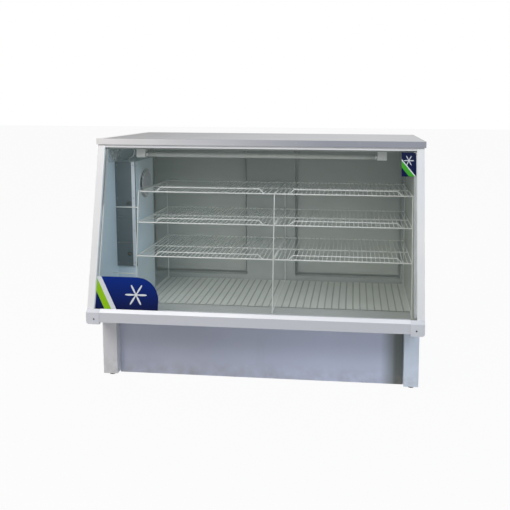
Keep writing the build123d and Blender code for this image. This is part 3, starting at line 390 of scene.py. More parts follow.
@dataclass(frozen=True)
class SwagedFloor(Finish):
    """Pressed floor sheet, dull where goods slide and darker down in its grooves."""

    colour: Colour
    shade: Colour
    crest: float
    groove: float
    line_at: float
    line_half: float = 0.0014

    def material(self) -> bpy.types.Material:
        """Build the floor sheet's material.

        Returns:
            The material.
        """
        graph = Graph(self.name)
        depth = 1.0 - graph.coordinate(Axis.UP).ramp(self.groove, self.crest)
        drag = graph.noise(90.0, 3.0, (1.0, 0.04, 1.0))
        cloud = graph.noise(5.0, 4.0).ramp(0.3, 0.75)
        line = abs(graph.coordinate(Axis.BACK) - self.line_at).below(self.line_half)
        colour = graph.blend(cloud * 0.5 + drag * 0.4, self.colour, self.shade)
        colour = graph.blend(depth * 0.5, colour, ink("70736e"))
        return graph.finish({
            "Base Color": graph.blend(line * 0.35, colour, ink("cdd0cd")),
            "Metallic": 0.1,
            "Roughness": 0.42 + drag * 0.16 + depth * 0.15,
            "Normal": graph.relief(drag, 0.00012, 0.5),
        })


@dataclass(frozen=True)
class CoatedWire(Finish):
    """White plastic dip over wire, smooth, with slight yellowing and drips."""

    colour: Colour
    shade: Colour

    def material(self) -> bpy.types.Material:
        """Build the coating's material.

        Returns:
            The material.
        """
        graph = Graph(self.name)
        age = graph.noise(9.0, 3.0).ramp(0.35, 0.8)
        drip = graph.noise(160.0, 2.0)
        return graph.finish({
            "Base Color": graph.blend(age * 0.7, self.colour, self.shade),
            "Roughness": 0.28 + drip * 0.12,
            "Coat Weight": 0.25,
            "Normal": graph.relief(drip, 0.0002, 0.35),
        })


@dataclass(frozen=True)
class ClearGlass(Finish):
    """Float glass pane, faintly green, with wiping marks."""

    tint: Colour
    cover: float

    def material(self) -> bpy.types.Material:
        """Build the glass's material.

        Returns:
            The material.
        """
        graph = Graph(self.name)
        wipe = graph.noise(4.0, 4.0, (0.5, 1.0, 1.6)).ramp(0.4, 0.8)
        return graph.finish({
            "Base Color": self.tint,
            "Roughness": 0.03 + wipe * 0.03,
            "Specular IOR Level": 0.5,
            "Alpha": self.cover + wipe * 0.05,
        })


@dataclass(frozen=True)
class Moulded(Finish):
    """Moulded or cast part with a fine grain."""

    colour: Colour
    shade: Colour
    roughness: float = 0.5
    grain: float = 900.0
    relief: float = 0.00015
    metallic: float = 0.0
    coat: float = 0.0

    def material(self) -> bpy.types.Material:
        """Build the part's material.

        Returns:
            The material.
        """
        graph = Graph(self.name)
        cloud = graph.noise(11.0, 3.0).ramp(0.3, 0.75)
        grain = graph.noise(self.grain, 2.0)
        return graph.finish({
            "Base Color": graph.blend(cloud, self.colour, self.shade),
            "Metallic": self.metallic,
            "Roughness": self.roughness + (grain - 0.5) * 0.14,
            "Coat Weight": self.coat,
            "Normal": graph.relief(grain, self.relief, 0.5),
        })


@dataclass(frozen=True)
class Galvanised(Finish):
    """Zinc-coated sheet with its soft patches of crystals."""

    colour: Colour
    shade: Colour

    def material(self) -> bpy.types.Material:
        """Build the zinc's material.

        Returns:
            The material.
        """
        graph = Graph(self.name)
        cells = graph.node(
            "ShaderNodeTexVoronoi", {"feature": "F1"}, {"Vector": graph.place(), "Scale": 75.0}, "Color"
        )
        patch = graph.part(cells, Axis.ALONG)
        fine = graph.noise(300.0, 2.0)
        return graph.finish({
            "Base Color": graph.blend(patch, self.colour, self.shade),
            "Metallic": 0.85,
            "Roughness": 0.38 + patch * 0.16,
            "Normal": graph.relief(fine, 0.0001, 0.3),
        })


@dataclass(frozen=True)
class FinStack(Finish):
    """Coil of thin fins with copper returns at their ends."""

    axis: Axis
    low: float
    high: float
    step: float = 0.0005

    def material(self) -> bpy.types.Material:
        """Build the coil's material.

        Returns:
            The material.
        """
        graph = Graph(self.name)
        along = graph.coordinate(self.axis)
        start = along.ramp(self.low, self.low + self.step)
        ends = 1.0 - start * (1.0 - along.ramp(self.high - self.step, self.high))
        dust = graph.noise(40.0, 4.0).ramp(0.45, 0.8)
        fins = graph.blend(dust * 0.4, ink("bcbec0"), ink("8c8a84"))
        return graph.finish({
            "Base Color": graph.blend(ends, fins, ink("b07658")),
            "Metallic": 0.9 - dust * 0.4,
            "Roughness": 0.36 + dust * 0.2,
            "Normal": graph.relief(graph.noise(600.0), 0.0001, 0.3),
        })


@dataclass(frozen=True)
class LampTube(Finish):
    """Unlit fluorescent tube: pale phosphor under glass, metal caps and greyed ends."""

    half: float
    cap: float
    greyed: float = 0.05

    def material(self) -> bpy.types.Material:
        """Build the tube's material.

        Returns:
            The material.
        """
        graph = Graph(self.name)
        reach = abs(graph.coordinate(Axis.ALONG))
        cap = reach.above(self.half - self.cap)
        worn = reach.ramp(self.half - self.cap - self.greyed, self.half - self.cap)
        dust = graph.noise(30.0, 4.0).ramp(0.4, 0.8)
        phosphor = graph.blend(worn * 0.5 + dust * 0.15, ink("ced0ca"), ink("8c8a84"))
        return graph.finish({
            "Base Color": graph.blend(cap, phosphor, ink("b4b6b8")),
            "Metallic": cap * 0.9,
            "Roughness": 0.16 + cap * 0.18,
            "Coat Weight": 0.6 - cap * 0.6,
            "Normal": graph.relief(dust, 0.00004, 0.2),
        })


@dataclass(frozen=True)
class PolymerFilm(Finish):
    """Thin clear film whose creases are painted white, partly whitened folds and partly painted sheen."""

    def material(self) -> bpy.types.Material:
        """Build the film's material.

        Returns:
            The material.
        """
        graph = Graph(self.name)
        crease = graph.noise(60.0, 4.0)
        return graph.finish({
            # The whitish patches stand partly for whitened creases and partly for painted sheen.
            "Base Color": graph.blend(crease.ramp(0.4, 0.65), ink("c4d0d7"), ink("fcfdfd")),
            "Roughness": 0.12 + crease * 0.1,
            "Coat Weight": 0.5,
            "Alpha": 0.34 + crease.ramp(0.42, 0.60) * 0.6,
            "Normal": graph.relief(crease, 0.002, 0.8),
        })


@dataclass(frozen=True)
class FrostSticker(Finish):
    """Generic sticker: slanted bands beside a six-armed frost star on a dark field."""

    aspect: float
    star_at: Pair
    star_size: float
    bands: tuple[float, float, float]
    slant: float
    field: Colour = ink("02287c")
    deep: Colour = ink("000e3e")
    band: Colour = ink("8cbe16")
    pale: Colour = ink("d6dade")

    def material(self) -> bpy.types.Material:
        """Build the print.

        The bands follow x + slant * y. The star is a rosette, whose reach grows with the seventh
        power of the size of the cosine of three times the turn.

        Returns:
            The material.
        """
        graph = Graph(self.name)
        chart = graph.place("UV")
        across = graph.part(chart, Axis.ALONG) * self.aspect
        up = graph.part(chart, Axis.BACK)
        lean = across + up * self.slant
        x = across - self.star_at[0]
        y = up - self.star_at[1]
        reach = (x * x + y * y) ** 0.5
        turn = y.math("ARCTAN2", x)
        arms = abs((turn * 3.0).math("COSINE")) ** 7.0
        star = reach.below(self.star_size * 0.16 + arms * self.star_size)
        fade = graph.blend(up, self.deep, self.field)
        first, second, third = self.bands
        green = lean.above(first) * lean.below(second)
        white = lean.above(second) * lean.below(third)
        colour = graph.blend(green, fade, self.band)
        colour = graph.blend(white, colour, self.pale)
        return graph.finish({
            "Base Color": graph.blend(star, colour, self.pale),
            "Roughness": 0.32 + graph.noise(60.0, 3.0) * 0.1,
            "Specular IOR Level": 0.12,
            "Normal": graph.relief(graph.noise(90.0, 2.0), 0.0001, 0.3),
        })


def tidy(mesh: bpy.types.Mesh) -> None:
    """Merge doubles and turn all faces outwards.

    Args:
        mesh: The mesh to mend.
    """
    work = bmesh.new()
    work.from_mesh(mesh)
    bmesh.ops.remove_doubles(work, verts=work.verts, dist=1e-6)
    bmesh.ops.recalc_face_normals(work, faces=work.faces)
    work.to_mesh(mesh)
    work.free()


def link_new(name: str, data: bpy.types.ID) -> bpy.types.Object:
    """Put a new object into the scene.

    Args:
        name: Its name.
        data: What it holds, a mesh, a lamp or a camera.

    Returns:
        The object.
    """
    made = bpy.data.objects.new(name, data)
    bpy.context.scene.collection.objects.link(made)
    return made


def grid_mesh(name: str, grids: Array, wrap: bool = False) -> bpy.types.Mesh:
    """Make a mesh of quads over grids of points.

    Args:
        name: Its name.
        grids: Positions as copies by rows by columns by three.
        wrap: Whether each row closes on itself.

    Returns:
        The mesh.
    """
    index = np.arange(np.prod(grids.shape[:3])).reshape(grids.shape[:3])
    if wrap:
        index = np.concatenate([index, index[:, :, :1]], axis=2)
    quads = np.stack(
        [index[:, :-1, :-1], index[:, :-1, 1:], index[:, 1:, 1:], index[:, 1:, :-1]], axis=-1
    ).reshape(-1, 4)
    mesh = bpy.data.meshes.new(name)
    mesh.from_pydata(grids.reshape(-1, 3).tolist(), [], quads.tolist())
    return mesh


def lay_chart(mesh: bpy.types.Mesh, chart: Array) -> None:
    """Give every face corner its vertex's place on the UV map.

    Args:
        mesh: The mesh.
        chart: A pair for each vertex.
    """
    corners = np.empty(len(mesh.loops), dtype=np.int32)
    mesh.loops.foreach_get("vertex_index", corners)
    layer = mesh.uv_layers.active or mesh.uv_layers.new(name="chart")
    layer.data.foreach_set("uv", chart[corners].astype(np.float32).ravel())


def surface(
    name: str, points: Array, finish: Finish, body: str = "cabinet",
    wrap: bool = False, closed: bool = True, smooth: bool = True,
) -> bpy.types.Object:
    """Make one object from grids of points.

    Args:
        name: The piece's name.
        points: Positions as copies by rows by columns by three, or rows by columns by three.
        finish: The finish that gives its material.
        body: The CAD body that it rides on.
        wrap: Whether each row closes on itself.
        closed: Whether the form is closed and has its faces turned outwards.
        smooth: Whether its faces are smooth.

    Returns:
        The object, riding on its body.
    """
    grids = points if points.ndim == 4 else points[None]
    copies, rows, columns = grids.shape[:3]
    mesh = grid_mesh(name, grids, wrap)
    row, column = np.divmod(np.tile(np.arange(rows * columns), copies), columns)
    lay_chart(mesh, np.stack([column / (columns - 1), row / (rows - 1)], axis=-1))
    if closed:
        tidy(mesh)
    mesh.polygons.foreach_set("use_smooth", np.full(len(mesh.polygons), smooth))
    mesh.materials.append(finish.material())
    piece = link_new(name, mesh)
    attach(piece, body)
    LOG.info("%s: %d faces", name, len(mesh.polygons))
    return piece


def domes(centres: Sequence[Point], radius: float, height: float, outward: Vector) -> Array:
    """Low domes for rivets and screw heads.

    A point's distance from the axis is radius times the sine of the tilt, and its height is
    height times the cosine, for tilts from nought to a right angle, with a flat back.

    Args:
        centres: The middle of each foot.
        radius: The foot's radius.
        height: The dome's height.
        outward: The direction in which the domes stand.

    Returns:
        Positions as copies by rows by columns by three.
    """
    tilt = np.linspace(0.0, np.pi / 2, 5)[:, None]
    turn = np.linspace(0.0, 2 * np.pi, 12, endpoint=False)[None, :]
    side = outward.orthogonal().normalized()
    other = outward.cross(side)
    spread = np.sin(tilt) * radius
    lift = np.cos(tilt) * height + 0.0 * turn
    form = (
        (spread * np.cos(turn))[..., None] * np.array(side)
        + (spread * np.sin(turn))[..., None] * np.array(other)
        + lift[..., None] * np.array(outward)
    )
    foot = np.zeros((1, form.shape[1], 3))
    form = np.concatenate([form, foot], axis=0)
    return np.array(centres)[:, None, None, :] + form[None]


def bead(
    start: Point, end: Point, first: Point, second: Point, size: float
) -> Array:
    """A fillet of sealant in a corner, a hollow face carried along a straight run.

    A point of the section is first * size * (1 - 0.8 sin a) + second * size * (1 - 0.8 cos a), with
    both ends of the face brought onto the walls, and the corner itself closes it.

    Args:
        start: One end of the corner line.
        end: The other end.
        first: Unit vector along one wall.
        second: Unit vector along the other wall.
        size: The bead's leg.

    Returns:
        Positions as rows by columns by three, with closed ends.
    """
    angle = np.linspace(0.0, np.pi / 2, 5)
    legs = np.stack([1 - np.sin(angle) * 0.8, 1 - np.cos(angle) * 0.8], axis=-1) * size
    legs[0, 1] = 0.0
    legs[-1, 0] = 0.0
    section = np.vstack([legs, [[0.0, 0.0]]])
    loop = section[:, :1] * np.array(first) + section[:, 1:] * np.array(second)
    line = np.linspace(0.0, 1.0, 24)[:, None]
    path = np.array(start) * (1 - line) + np.array(end) * line
    rows = path[:, None, :] + loop[None]
    cap_low = np.repeat(rows[:1].mean(axis=1, keepdims=True), rows.shape[1], axis=1)
    cap_high = np.repeat(rows[-1:].mean(axis=1, keepdims=True), rows.shape[1], axis=1)
    return np.concatenate([cap_low, rows, cap_high], axis=0)


def rods(runs: Sequence[tuple[Point, Point]], radius: float, sides: int = 10) -> Array:
    """Straight round wires with rounded ends, each between two points.

    A point is the wire's start plus its distance along the run plus, for the turn a, radius times
    the share at that distance times (side * cos a + other * sin a). The share rises from nought to
    one within a radius of each end.

    Args:
        runs: The start and the end of each wire.
        radius: The wires' radius.
        sides: Points round a wire.

    Returns:
        Positions as copies by rows by columns by three.
    """
    start = np.array([run[0] for run in runs], dtype=float)
    end = np.array([run[1] for run in runs], dtype=float)
    length = np.linalg.norm(end - start, axis=1, keepdims=True)
    along = (end - start) / length
    steep = np.abs(along[:, 2:]) > 0.9
    helper = np.where(steep, [[1.0, 0.0, 0.0]], [[0.0, 0.0, 1.0]])
    side = np.cross(along, helper)
    side /= np.linalg.norm(side, axis=1, keepdims=True)
    other = np.cross(along, side)
    turn = np.linspace(0.0, 2 * np.pi, sides, endpoint=False)
    ring = side[:, None] * np.cos(turn)[None, :, None] + other[:, None] * np.sin(turn)[None, :, None]
    share = np.array([0.0, 0.75, 1.0, 1.0, 1.0, 0.75, 0.0])
    inset = np.array([0.0, 0.25, 1.0]) * radius
    offset = np.concatenate(
        [np.repeat(inset[None], len(runs), axis=0), length / 2, length - inset[::-1][None]], axis=1
    )
    return (
        start[:, None, None] + offset[:, :, None, None] * along[:, None, None]
        + ring[:, None] * (share[None, :, None, None] * radius)
    )


def turned(profile: Sequence[Pair], centre: Point, sides: int = 36) -> Array:
    """A form turned about an axis along X.

    A point is the centre plus the profile's distance along X, and its radius times the cosine and
    sine of the turn on the other two axes.

    Args:
        profile: Distance along the axis and radius, from end to end.
        centre: The middle of the axis.
        sides: Points round it.

    Returns:
        Positions as rows by columns by three.
    """
    line = np.array(profile)
    turn = np.linspace(0.0, 2 * np.pi, sides, endpoint=False)
    across = np.broadcast_to(line[:, :1], (len(line), sides))
    form = np.stack([across, line[:, 1:] * np.cos(turn), line[:, 1:] * np.sin(turn)], axis=-1)
    return np.array(centre) + form


@dataclass(frozen=True)
class Heads:
    """Domed heads of one size, of screws or rivets, or the marks of a dial."""

    radius: float
    height: float
    finish: Finish
    slot: str = "galvanised"

    def place(self, name: str, centres: Sequence[Point], outward: Vector) -> None:
        """Make one piece of heads, each at a centre and standing outwards."""
        surface(name, domes(centres, self.radius, self.height, outward), self.finish, wrap=True)


WHITE_PAINT = PaintedSheet("white_paint", ink("eeedec"), ink("e4e5e8"), roughness=0.36)
SCREW_STEEL = Galvanised("screw_steel", ink("c4c6c8"), ink("aaacaf"))
RIVET = Moulded("rivet_aluminium", ink("b0b4b8"), ink("969aa0"), roughness=0.35, metallic=0.9)
SEALANT = Moulded("clear_sealant", ink("e0e5e7"), ink("d0d6d8"), roughness=0.3, grain=300.0, relief=0.0002)
MARK_INK = Moulded("mark_ink", ink("282c32"), ink("30343a"), roughness=0.5)
COIL_BEND = 0.008  # Length of a coil's copper bends at each end of its fins.
SHADE_HEIGHTS = (0.84, 1.12)  # Heights between which the inner faces at the back are painted darker upwards, as painted shade under the worktop.


@dataclass
class Assembly:
    """What every sub-assembly shares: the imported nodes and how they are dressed."""

    frame: dict[str, Any]

    def dress(self, finish: Finish, *names: str) -> None:
        """Give CAD nodes one finish.

        Args:
            finish: The finish.
            names: The nodes' names.
        """
        material = finish.material()
        for name in names:
            node = self.frame["nodes"][name]
            if not node.material_slots:
                node.data.materials.append(material)
            for held in node.material_slots:
                held.material = material
            LOG.info("%s: %s", name, finish.name)

    def dress_coil(self, name: str, node: str, axis: Axis) -> None:
        """Give a coil its fins, between copper bends at both ends.

        Args:
            name: The finish's name.
            node: The coil's node.
            axis: The axis along which the fins are stacked.
        """
        low, high = (corner[axis.value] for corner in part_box(node))
        self.dress(FinStack(name, axis, low + COIL_BEND, high - COIL_BEND), node)


@dataclass
class Base(Assembly):
    """Pedestals, kick panel, grille, tray and feet."""

    screws: Heads = Heads(0.0042, 0.0018, SCREW_STEEL)
    screws_across: int = 5
    screw_end: float = 0.03
    screw_inset: float = 0.012
    louvre_stand: float = 0.006
    # Spans of painted light on the kick panel: a cool tint rising from left to right, then painted shade
    # darkening its right end beside the leg.
    kick_cool_light: Pair = (-0.35, 0.35)
    kick_shade: Pair = (0.115, 0.048)
    kick_edge_shade: Pair = (0.052, 0.038)

    def build(self) -> None:
        """Dress the base, with painted light and shade on the kick panel, and add the grille's screws."""
        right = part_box("kick_panel")[1][0]
        # Painted light on the kick panel: painted cool light towards the right, then two darker bands of
        # painted shade at its right end.
        zones = (
            Zone(Axis.ALONG, *self.kick_cool_light, ink("d8dff6")),
            Zone(Axis.ALONG, right - self.kick_shade[0], right - self.kick_shade[1], ink("848c8e")),
            Zone(Axis.ALONG, right - self.kick_edge_shade[0], right - self.kick_edge_shade[1], ink("686e6c")),
        )
        leg = PaintedSheet("pedestal_paint_left", ink("e4e3e6"), ink("dcdce0"), roughness=0.4,
                           grime_height=0.16)
        self.dress(leg, "base_end_left")
        # The right pedestal's paint is a lighter, bluer copy of the left one's: painted cool light.
        self.dress(replace(leg, name="pedestal_paint_right_lit", colour=ink("eaf3ff"),
                           shade=ink("e2ecfc")), "base_end_right")
        self.dress(PaintedSheet("kick_paint", ink("c6cadb"), ink("bcc1d5"), roughness=0.42,
                                grime_height=0.10, zones=zones), "kick_panel")
        self.dress(PaintedSheet("grille_paint", ink("b0b2b8"), ink("a6a9b1"), roughness=0.45,
                                grime_height=0.14), "rear_grille")
        self.dress(Galvanised("tray_zinc", ink("acb0b4"), ink("8c9196")),
                   "base_tray", "condenser_shroud", "drain_pan")
        self.dress(
            Moulded("foot_plastic", ink("222224"), ink("1a1a1c"), roughness=0.6, grain=500.0, relief=0.0003),
            *(f"levelling_foot_{place}_{hand}" for place in ("front", "back") for hand in ("left", "right")),
        )
        self.grille_screws()

    def grille_screws(self) -> None:
        """Screws along the grille's top and bottom edges, on the sheet behind its louvres' crests."""
        low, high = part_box("rear_grille")
        across = np.linspace(low[0] + self.screw_end, high[0] - self.screw_end, self.screws_across)
        centres = [(x, high[1] - self.louvre_stand, z) for x in across
                   for z in (low[2] + self.screw_inset, high[2] - self.screw_inset)]
        self.screws.place("grille_screws", centres, Vector((0, 1, 0)))


@dataclass
class CondensingUnit(Assembly):
    """Compressor, condenser, fan, pipes and pan behind the kick panel."""

    def build(self) -> None:
        """Dress the condensing unit, and the evaporator's motor, which has the same enamel."""
        self.dress(
            Moulded("machine_enamel", ink("1c1c1e"), ink("262628"), roughness=0.32, grain=260.0,
                    relief=0.0003, coat=0.3),
            "compressor", "condenser_fan_motor", "evaporator_fan_motor",
        )
        self.dress(Moulded("mount_rubber", ink("1e1e1f"), ink("282828"), roughness=0.7), "compressor_mounts")
        self.dress_coil("condenser_fins", "condenser_coil", Axis.ALONG)
        self.dress(Moulded("fan_plastic", ink("28292b"), ink("343537"), roughness=0.45),
                   "condenser_fan_blade")
        self.dress(
            Moulded("pipe_copper", ink("c47a58"), ink("a06046"), roughness=0.3, grain=120.0,
                    relief=0.0002, metallic=0.95),
            "refrigerant_pipes",
        )


@dataclass
class Cabinet(Assembly):
    """Insulated body, worktop, rails and the bumper."""

    liner_at: float = 0.7893
    liner_step: float = 0.0002
    # Height of the bumper's shoulder: below it the face is painted darker as painted shade, while the bevel
    # above it stays light.
    bumper_shoulder: float = 0.406
    shoulder_step: float = 0.001
    frame_face: float = 0.002
    # Spans of painted reflection on the worktop: the apron lighter towards its left end and darker and bluer
    # towards its right, the upper face darker but for its left end and lighter towards the right.
    apron_left: Pair = (-0.35, -0.83)
    apron_right: Pair = (-0.35, 0.35)
    top_from: float = 1.2535
    top_end: Pair = (-0.8, -0.79)
    top_fade: Pair = (-0.8, 0.6)
    groove_depth: float = 0.0042
    floor_line: float = 0.113

    def build(self) -> None:
        """Dress the body from its outside to its floor sheets."""
        self.outside()
        self.inside()
        self.worktop()
        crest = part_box("floor_panels")[1][2]
        self.dress(SwagedFloor("floor_sheet", ink("e0e4de"), ink("d0d5cf"), crest,
                               crest - self.groove_depth, self.floor_line), "floor_panels")

    def outside(self) -> None:
        """Dress the rail, the end panels, whose inner sides are liner with painted cool light on the left
        one, and the bumper, whose face carries painted shade.
        """
        self.dress(WHITE_PAINT, "top_rail")
        # The end panels' inner sides are liner; the left one is painted lighter and bluer than the right
        # one, as painted cool light.
        for hand, side, liner in (("left", -1, ink("def2fe")), ("right", 1, ink("bec1b8"))):
            wall = Zone(Axis.ALONG, side * (self.liner_at + self.liner_step),
                        side * (self.liner_at - self.liner_step), liner)
            self.dress(replace(WHITE_PAINT, name=f"panel_paint_{hand}", zones=(wall,)), f"end_panel_{hand}")
        # Painted shade: the bumper's face below its shoulder is painted darker than the lit bevel above it.
        face = Zone(Axis.UP, self.bumper_shoulder + self.shoulder_step,
                    self.bumper_shoulder - self.shoulder_step, ink("d2d3d9"))
        self.dress(PaintedSheet("bumper_paint", ink("f0f0f3"), ink("e8e9ee"), roughness=0.34, zones=(face,)),
                   "bumper_rail")
        self.dress(Moulded("cap_plastic", ink("dedfe4"), ink("d4d6dc"), roughness=0.42, grain=700.0,
                           relief=0.0002), "bumper_caps")
        self.dress(SCREW_STEEL, "hinge_brackets")
        # The cap screws are painted dark, partly their own colour and partly the painted shade of the holes
        # they sit in.
        self.dress(Galvanised("dark_screw", ink("464a4c"), ink("34383a")), "cap_screws")

    def inside(self) -> None:
        """Dress the liner, with painted shade darkening the rear frame's inner face towards the top."""
        liner = PaintedSheet("liner_paint", ink("c4c8c6"), ink("b8bdbb"), roughness=0.4)
        self.dress(liner, "cabinet_floor", "roof_panel")
        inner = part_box("rear_frame")[0][1] + self.frame_face
        # Painted shade under the worktop: the rear frame's inner face darkens towards the top.
        top_shade = Zone(Axis.UP, *SHADE_HEIGHTS, ink("989c9a"), inner)
        self.dress(replace(liner, name="liner_paint_rear", zones=(top_shade,)), "rear_frame")

    def worktop(self) -> None:
        """Dress the worktop, whose apron and upper face change their grey along it as painted reflections.
        """
        self.dress(BrushedSteel(
            "worktop_steel", ink("c4c4c7"), ink("b2b3b8"), roughness=0.42,
            zones=(Zone(Axis.ALONG, *self.apron_left, ink("d6d4d4")),
                   Zone(Axis.ALONG, *self.apron_right, ink("92959e"))),
            top_from=self.top_from,
            top_reflection_zones=(Zone(Axis.ALONG, *self.top_end, ink("7a7a7c")),
                       Zone(Axis.ALONG, *self.top_fade, ink("a6a8aa"))),
        ), "worktop")


@dataclass
class FrontGlass(Assembly):
    """Sloped front pane with its trims and beads of sealant."""

    thick: float = 0.006
    cover: float = 0.07
    bead_size: float = 0.0032
    bead_gap: float = 0.001
    bead_foot: float = 0.014
    bead_head: float = 0.022

    def build(self) -> None:
        """Dress the pane and its trims, and add sealant where it meets both end panels."""
        self.dress(Moulded("trim_rubber", ink("e2e6e8"), ink("d4d9dc"), roughness=0.6), "glass_trims")
        self.dress(ClearGlass("clear_glass", ink("84948e"), self.cover), "front_glass")
        low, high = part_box("front_glass")
        for hand, end, sign in (("left", low, 1.0), ("right", high, -1.0)):
            foot, head, along, normal = self.line(end[0] - sign * self.bead_gap)
            points = bead(foot + along * self.bead_foot, head - along * self.bead_head,
                          (sign, 0.0, 0.0), normal, self.bead_size)
            surface(f"sealant_{hand}", points, SEALANT, wrap=True)

    def line(self, x: float) -> tuple[Array, Array, Array, Array]:
        """Find a line up the pane's outer face.

        Args:
            x: Where it lies along the counter.

        Returns:
            Its foot, its head, the unit vector up it and the face's normal.
        """
        low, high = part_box("front_glass")
        deep, tall = high[1] - low[1], high[2] - low[2]
        foot = np.array([x, low[1], low[2]])
        head = np.array([x, high[1] - self.thick * np.hypot(deep, tall) / tall, high[2]])
        along = (head - foot) / np.linalg.norm(head - foot)
        return foot, head, along, np.array([0.0, -along[2], along[1]])


@dataclass
class LooseFilm(Assembly):
    """Crumpled protective film left on the liner beside the roof."""

    back: Pair = (-0.226, -0.085)
    up: Pair = (1.125, 1.194)
    lean: float = 0.25
    stand: float = 0.0016
    crest: float = 0.0032
    ripples: int = 7
    seed: int = 7

    def build(self) -> None:
        """Make the sheet.

        It is flat on the wall and stands off it by the sum of several slanted ripples, each the
        square of one less the size of a sine.
        """
        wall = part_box("end_panel_left")[1][0]
        back, up = np.meshgrid(np.linspace(*self.back, 70), np.linspace(*self.up, 40))
        random = np.random.default_rng(self.seed)
        height = np.zeros_like(back)
        for turn, pitch, phase in zip(random.uniform(0, np.pi, self.ripples),
                                      random.uniform(90, 260, self.ripples),
                                      random.uniform(0, 6, self.ripples)):
            wave = np.sin((np.cos(turn) * back + np.sin(turn) * up) * pitch + phase)
            height += (1 - np.abs(wave)) ** 2
        stand = self.stand + self.crest * height / height.max()
        points = np.stack([wall + stand, back + (up - self.up[0]) * self.lean, up], axis=-1)
        surface("wall_film", points, PolymerFilm("loose_film"), closed=False)


@dataclass(frozen=True)
class Sheet:
    """A sticker's outline: left edge, width, foot and height along the pane, rounded corner."""

    name: str
    left: float
    width: float
    foot: float
    height: float
    corner: float


@dataclass
class Stickers(Assembly):
    """Two generic stickers on the front glass."""

    pane: FrontGlass
    stand: float = 0.0006
    low: Sheet = Sheet("sticker_low", left=-0.786, width=0.318, foot=0.010, height=0.158, corner=0.115)
    high: Sheet = Sheet("sticker_high", left=0.715, width=0.070, foot=0.690, height=0.118, corner=0.012)

    def build(self) -> None:
        """Make the low and the high sticker."""
        self.sticker(self.low, FrostSticker(
            "print_low", aspect=2.0, star_at=(1.28, 0.46), star_size=0.30, bands=(0.30, 0.52, 0.68),
            slant=0.55))
        self.sticker(self.high, FrostSticker(
            "print_high", aspect=0.66, star_at=(0.33, 0.66), star_size=0.20, bands=(0.34, 0.60, 0.66),
            slant=0.9, band=ink("42a02c"), field=ink("0e1a3c")))

    def sticker(self, sheet: Sheet, finish: FrostSticker) -> None:
        """Make one sticker, whose upper right corner is cut back by a quarter circle.

        Args:
            sheet: Its outline.
            finish: Its print.
        """
        foot, _, along, normal = self.pane.line(0.0)
        u, v = np.meshgrid(np.linspace(0, 1, 48), np.linspace(0, 1, 32))
        rise = v * sheet.height
        over = np.clip(rise - (sheet.height - sheet.corner), 0, sheet.corner)
        cut = sheet.corner - np.sqrt(np.maximum(sheet.corner ** 2 - over ** 2, 0.0))
        reach = u * (sheet.width - cut)
        points = (
            foot + (sheet.foot + rise)[..., None] * along + normal * self.stand
            + (sheet.left + reach)[..., None] * np.array([1.0, 0.0, 0.0])
        )
        piece = surface(sheet.name, points, finish, closed=False)
        lay_chart(piece.data, np.stack([reach / sheet.width, v], axis=-1).reshape(-1, 2))


@dataclass
class Evaporator(Assembly):
    """Cold box at the left end with its cover, coil, fan and lead."""

    rivets: Heads = Heads(0.0032, 0.0012, RIVET)
    flank_inset: float = 0.012
    flank_heights: tuple[float, float, int] = (0.62, 1.10, 5)
    cover_insets: Pair = (0.008, 0.0095)
    cover_heights: tuple[float, float, int] = (0.575, 1.105, 4)
    strip_width: float = 0.019
    strip_thick: float = 0.0009
    strip_soft: float = 0.6

    def build(self) -> None:
        """Dress the evaporator and add its edge strip and rivets."""
        self.dress(PaintedSheet("box_paint", ink("e8f8ff"), ink("dceefc"), roughness=0.34),
                   "evaporator_housing")
        self.dress(BrushedSteel("cover_steel", ink("5c6870"), ink("4a565e"), streak=(1.0, 1.0, 0.02),
                                roughness=0.42, metallic=0.55), "evaporator_cover")
        self.dress(Moulded("grommet_rubber", ink("161618"), ink("1e1e20"), roughness=0.5), "cable_grommets")
        self.dress_coil("evaporator_fins", "evaporator_coil", Axis.BACK)
        self.dress(Moulded("blade_aluminium", ink("76828c"), ink("68747e"), roughness=0.4, metallic=0.4),
                   "evaporator_fan_blade")
        self.dress(CoatedWire("guard_coating", ink("f8f9fa"), ink("eef1f4")), "fan_guard")
        self.dress(Moulded("tray_plastic", ink("c8cccc"), ink("babebe"), roughness=0.4), "drip_tray")
        self.dress(Moulded("lead_jacket", ink("c6c8c8"), ink("b4b6b6"), roughness=0.45), "fan_lead")
        self.edge_strip()
        self.rivet_rows()

    def edge_strip(self) -> None:
        """Pale folded strip down the cover's right edge.

        Its section is a thin bar with both outer corners cut, carried straight up.
        """
        low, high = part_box("evaporator_cover")
        width, thick, soft = self.strip_width, self.strip_thick, self.strip_thick * self.strip_soft
        section = np.array([(0.0, 0.0), (0.0, thick - soft), (soft, thick),
                            (width - soft, thick), (width, thick - soft), (width, 0.0)])
        heights = np.linspace(low[2], high[2], 12)
        loop = np.stack([high[0] - width + section[:, 0], low[1] - section[:, 1]], axis=-1)
        rows = np.concatenate([
            np.broadcast_to(loop, (len(heights), *loop.shape)),
            np.broadcast_to(heights[:, None, None], (len(heights), len(loop), 1)),
        ], axis=-1)
        ends = [np.broadcast_to(rows[at].mean(axis=0), rows[at].shape)[None] for at in (0, -1)]
        paint = PaintedSheet("strip_paint", ink("dee6ec"), ink("d0dae2"), roughness=0.3)
        surface("cover_edge_strip", np.concatenate([ends[0], rows, ends[1]]), paint,
                wrap=True, smooth=False)

    def rivet_rows(self) -> None:
        """Blind rivets in two rows down the flank and two down the cover, one of them on its strip."""
        low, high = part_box("evaporator_housing")
        flank = [(high[0], y, z) for y in (low[1] + self.flank_inset, high[1] - self.flank_inset)
                 for z in np.linspace(*self.flank_heights)]
        self.rivets.place("flank_rivets", flank, Vector((1, 0, 0)))
        low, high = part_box("evaporator_cover")
        columns = ((low[0] + self.cover_insets[0], low[1]),
                   (high[0] - self.cover_insets[1], low[1] - self.strip_thick))
        face = [(x, y, z) for x, y in columns for z in np.linspace(*self.cover_heights)]
        self.rivets.place("cover_rivets", face, Vector((0, -1, 0)))


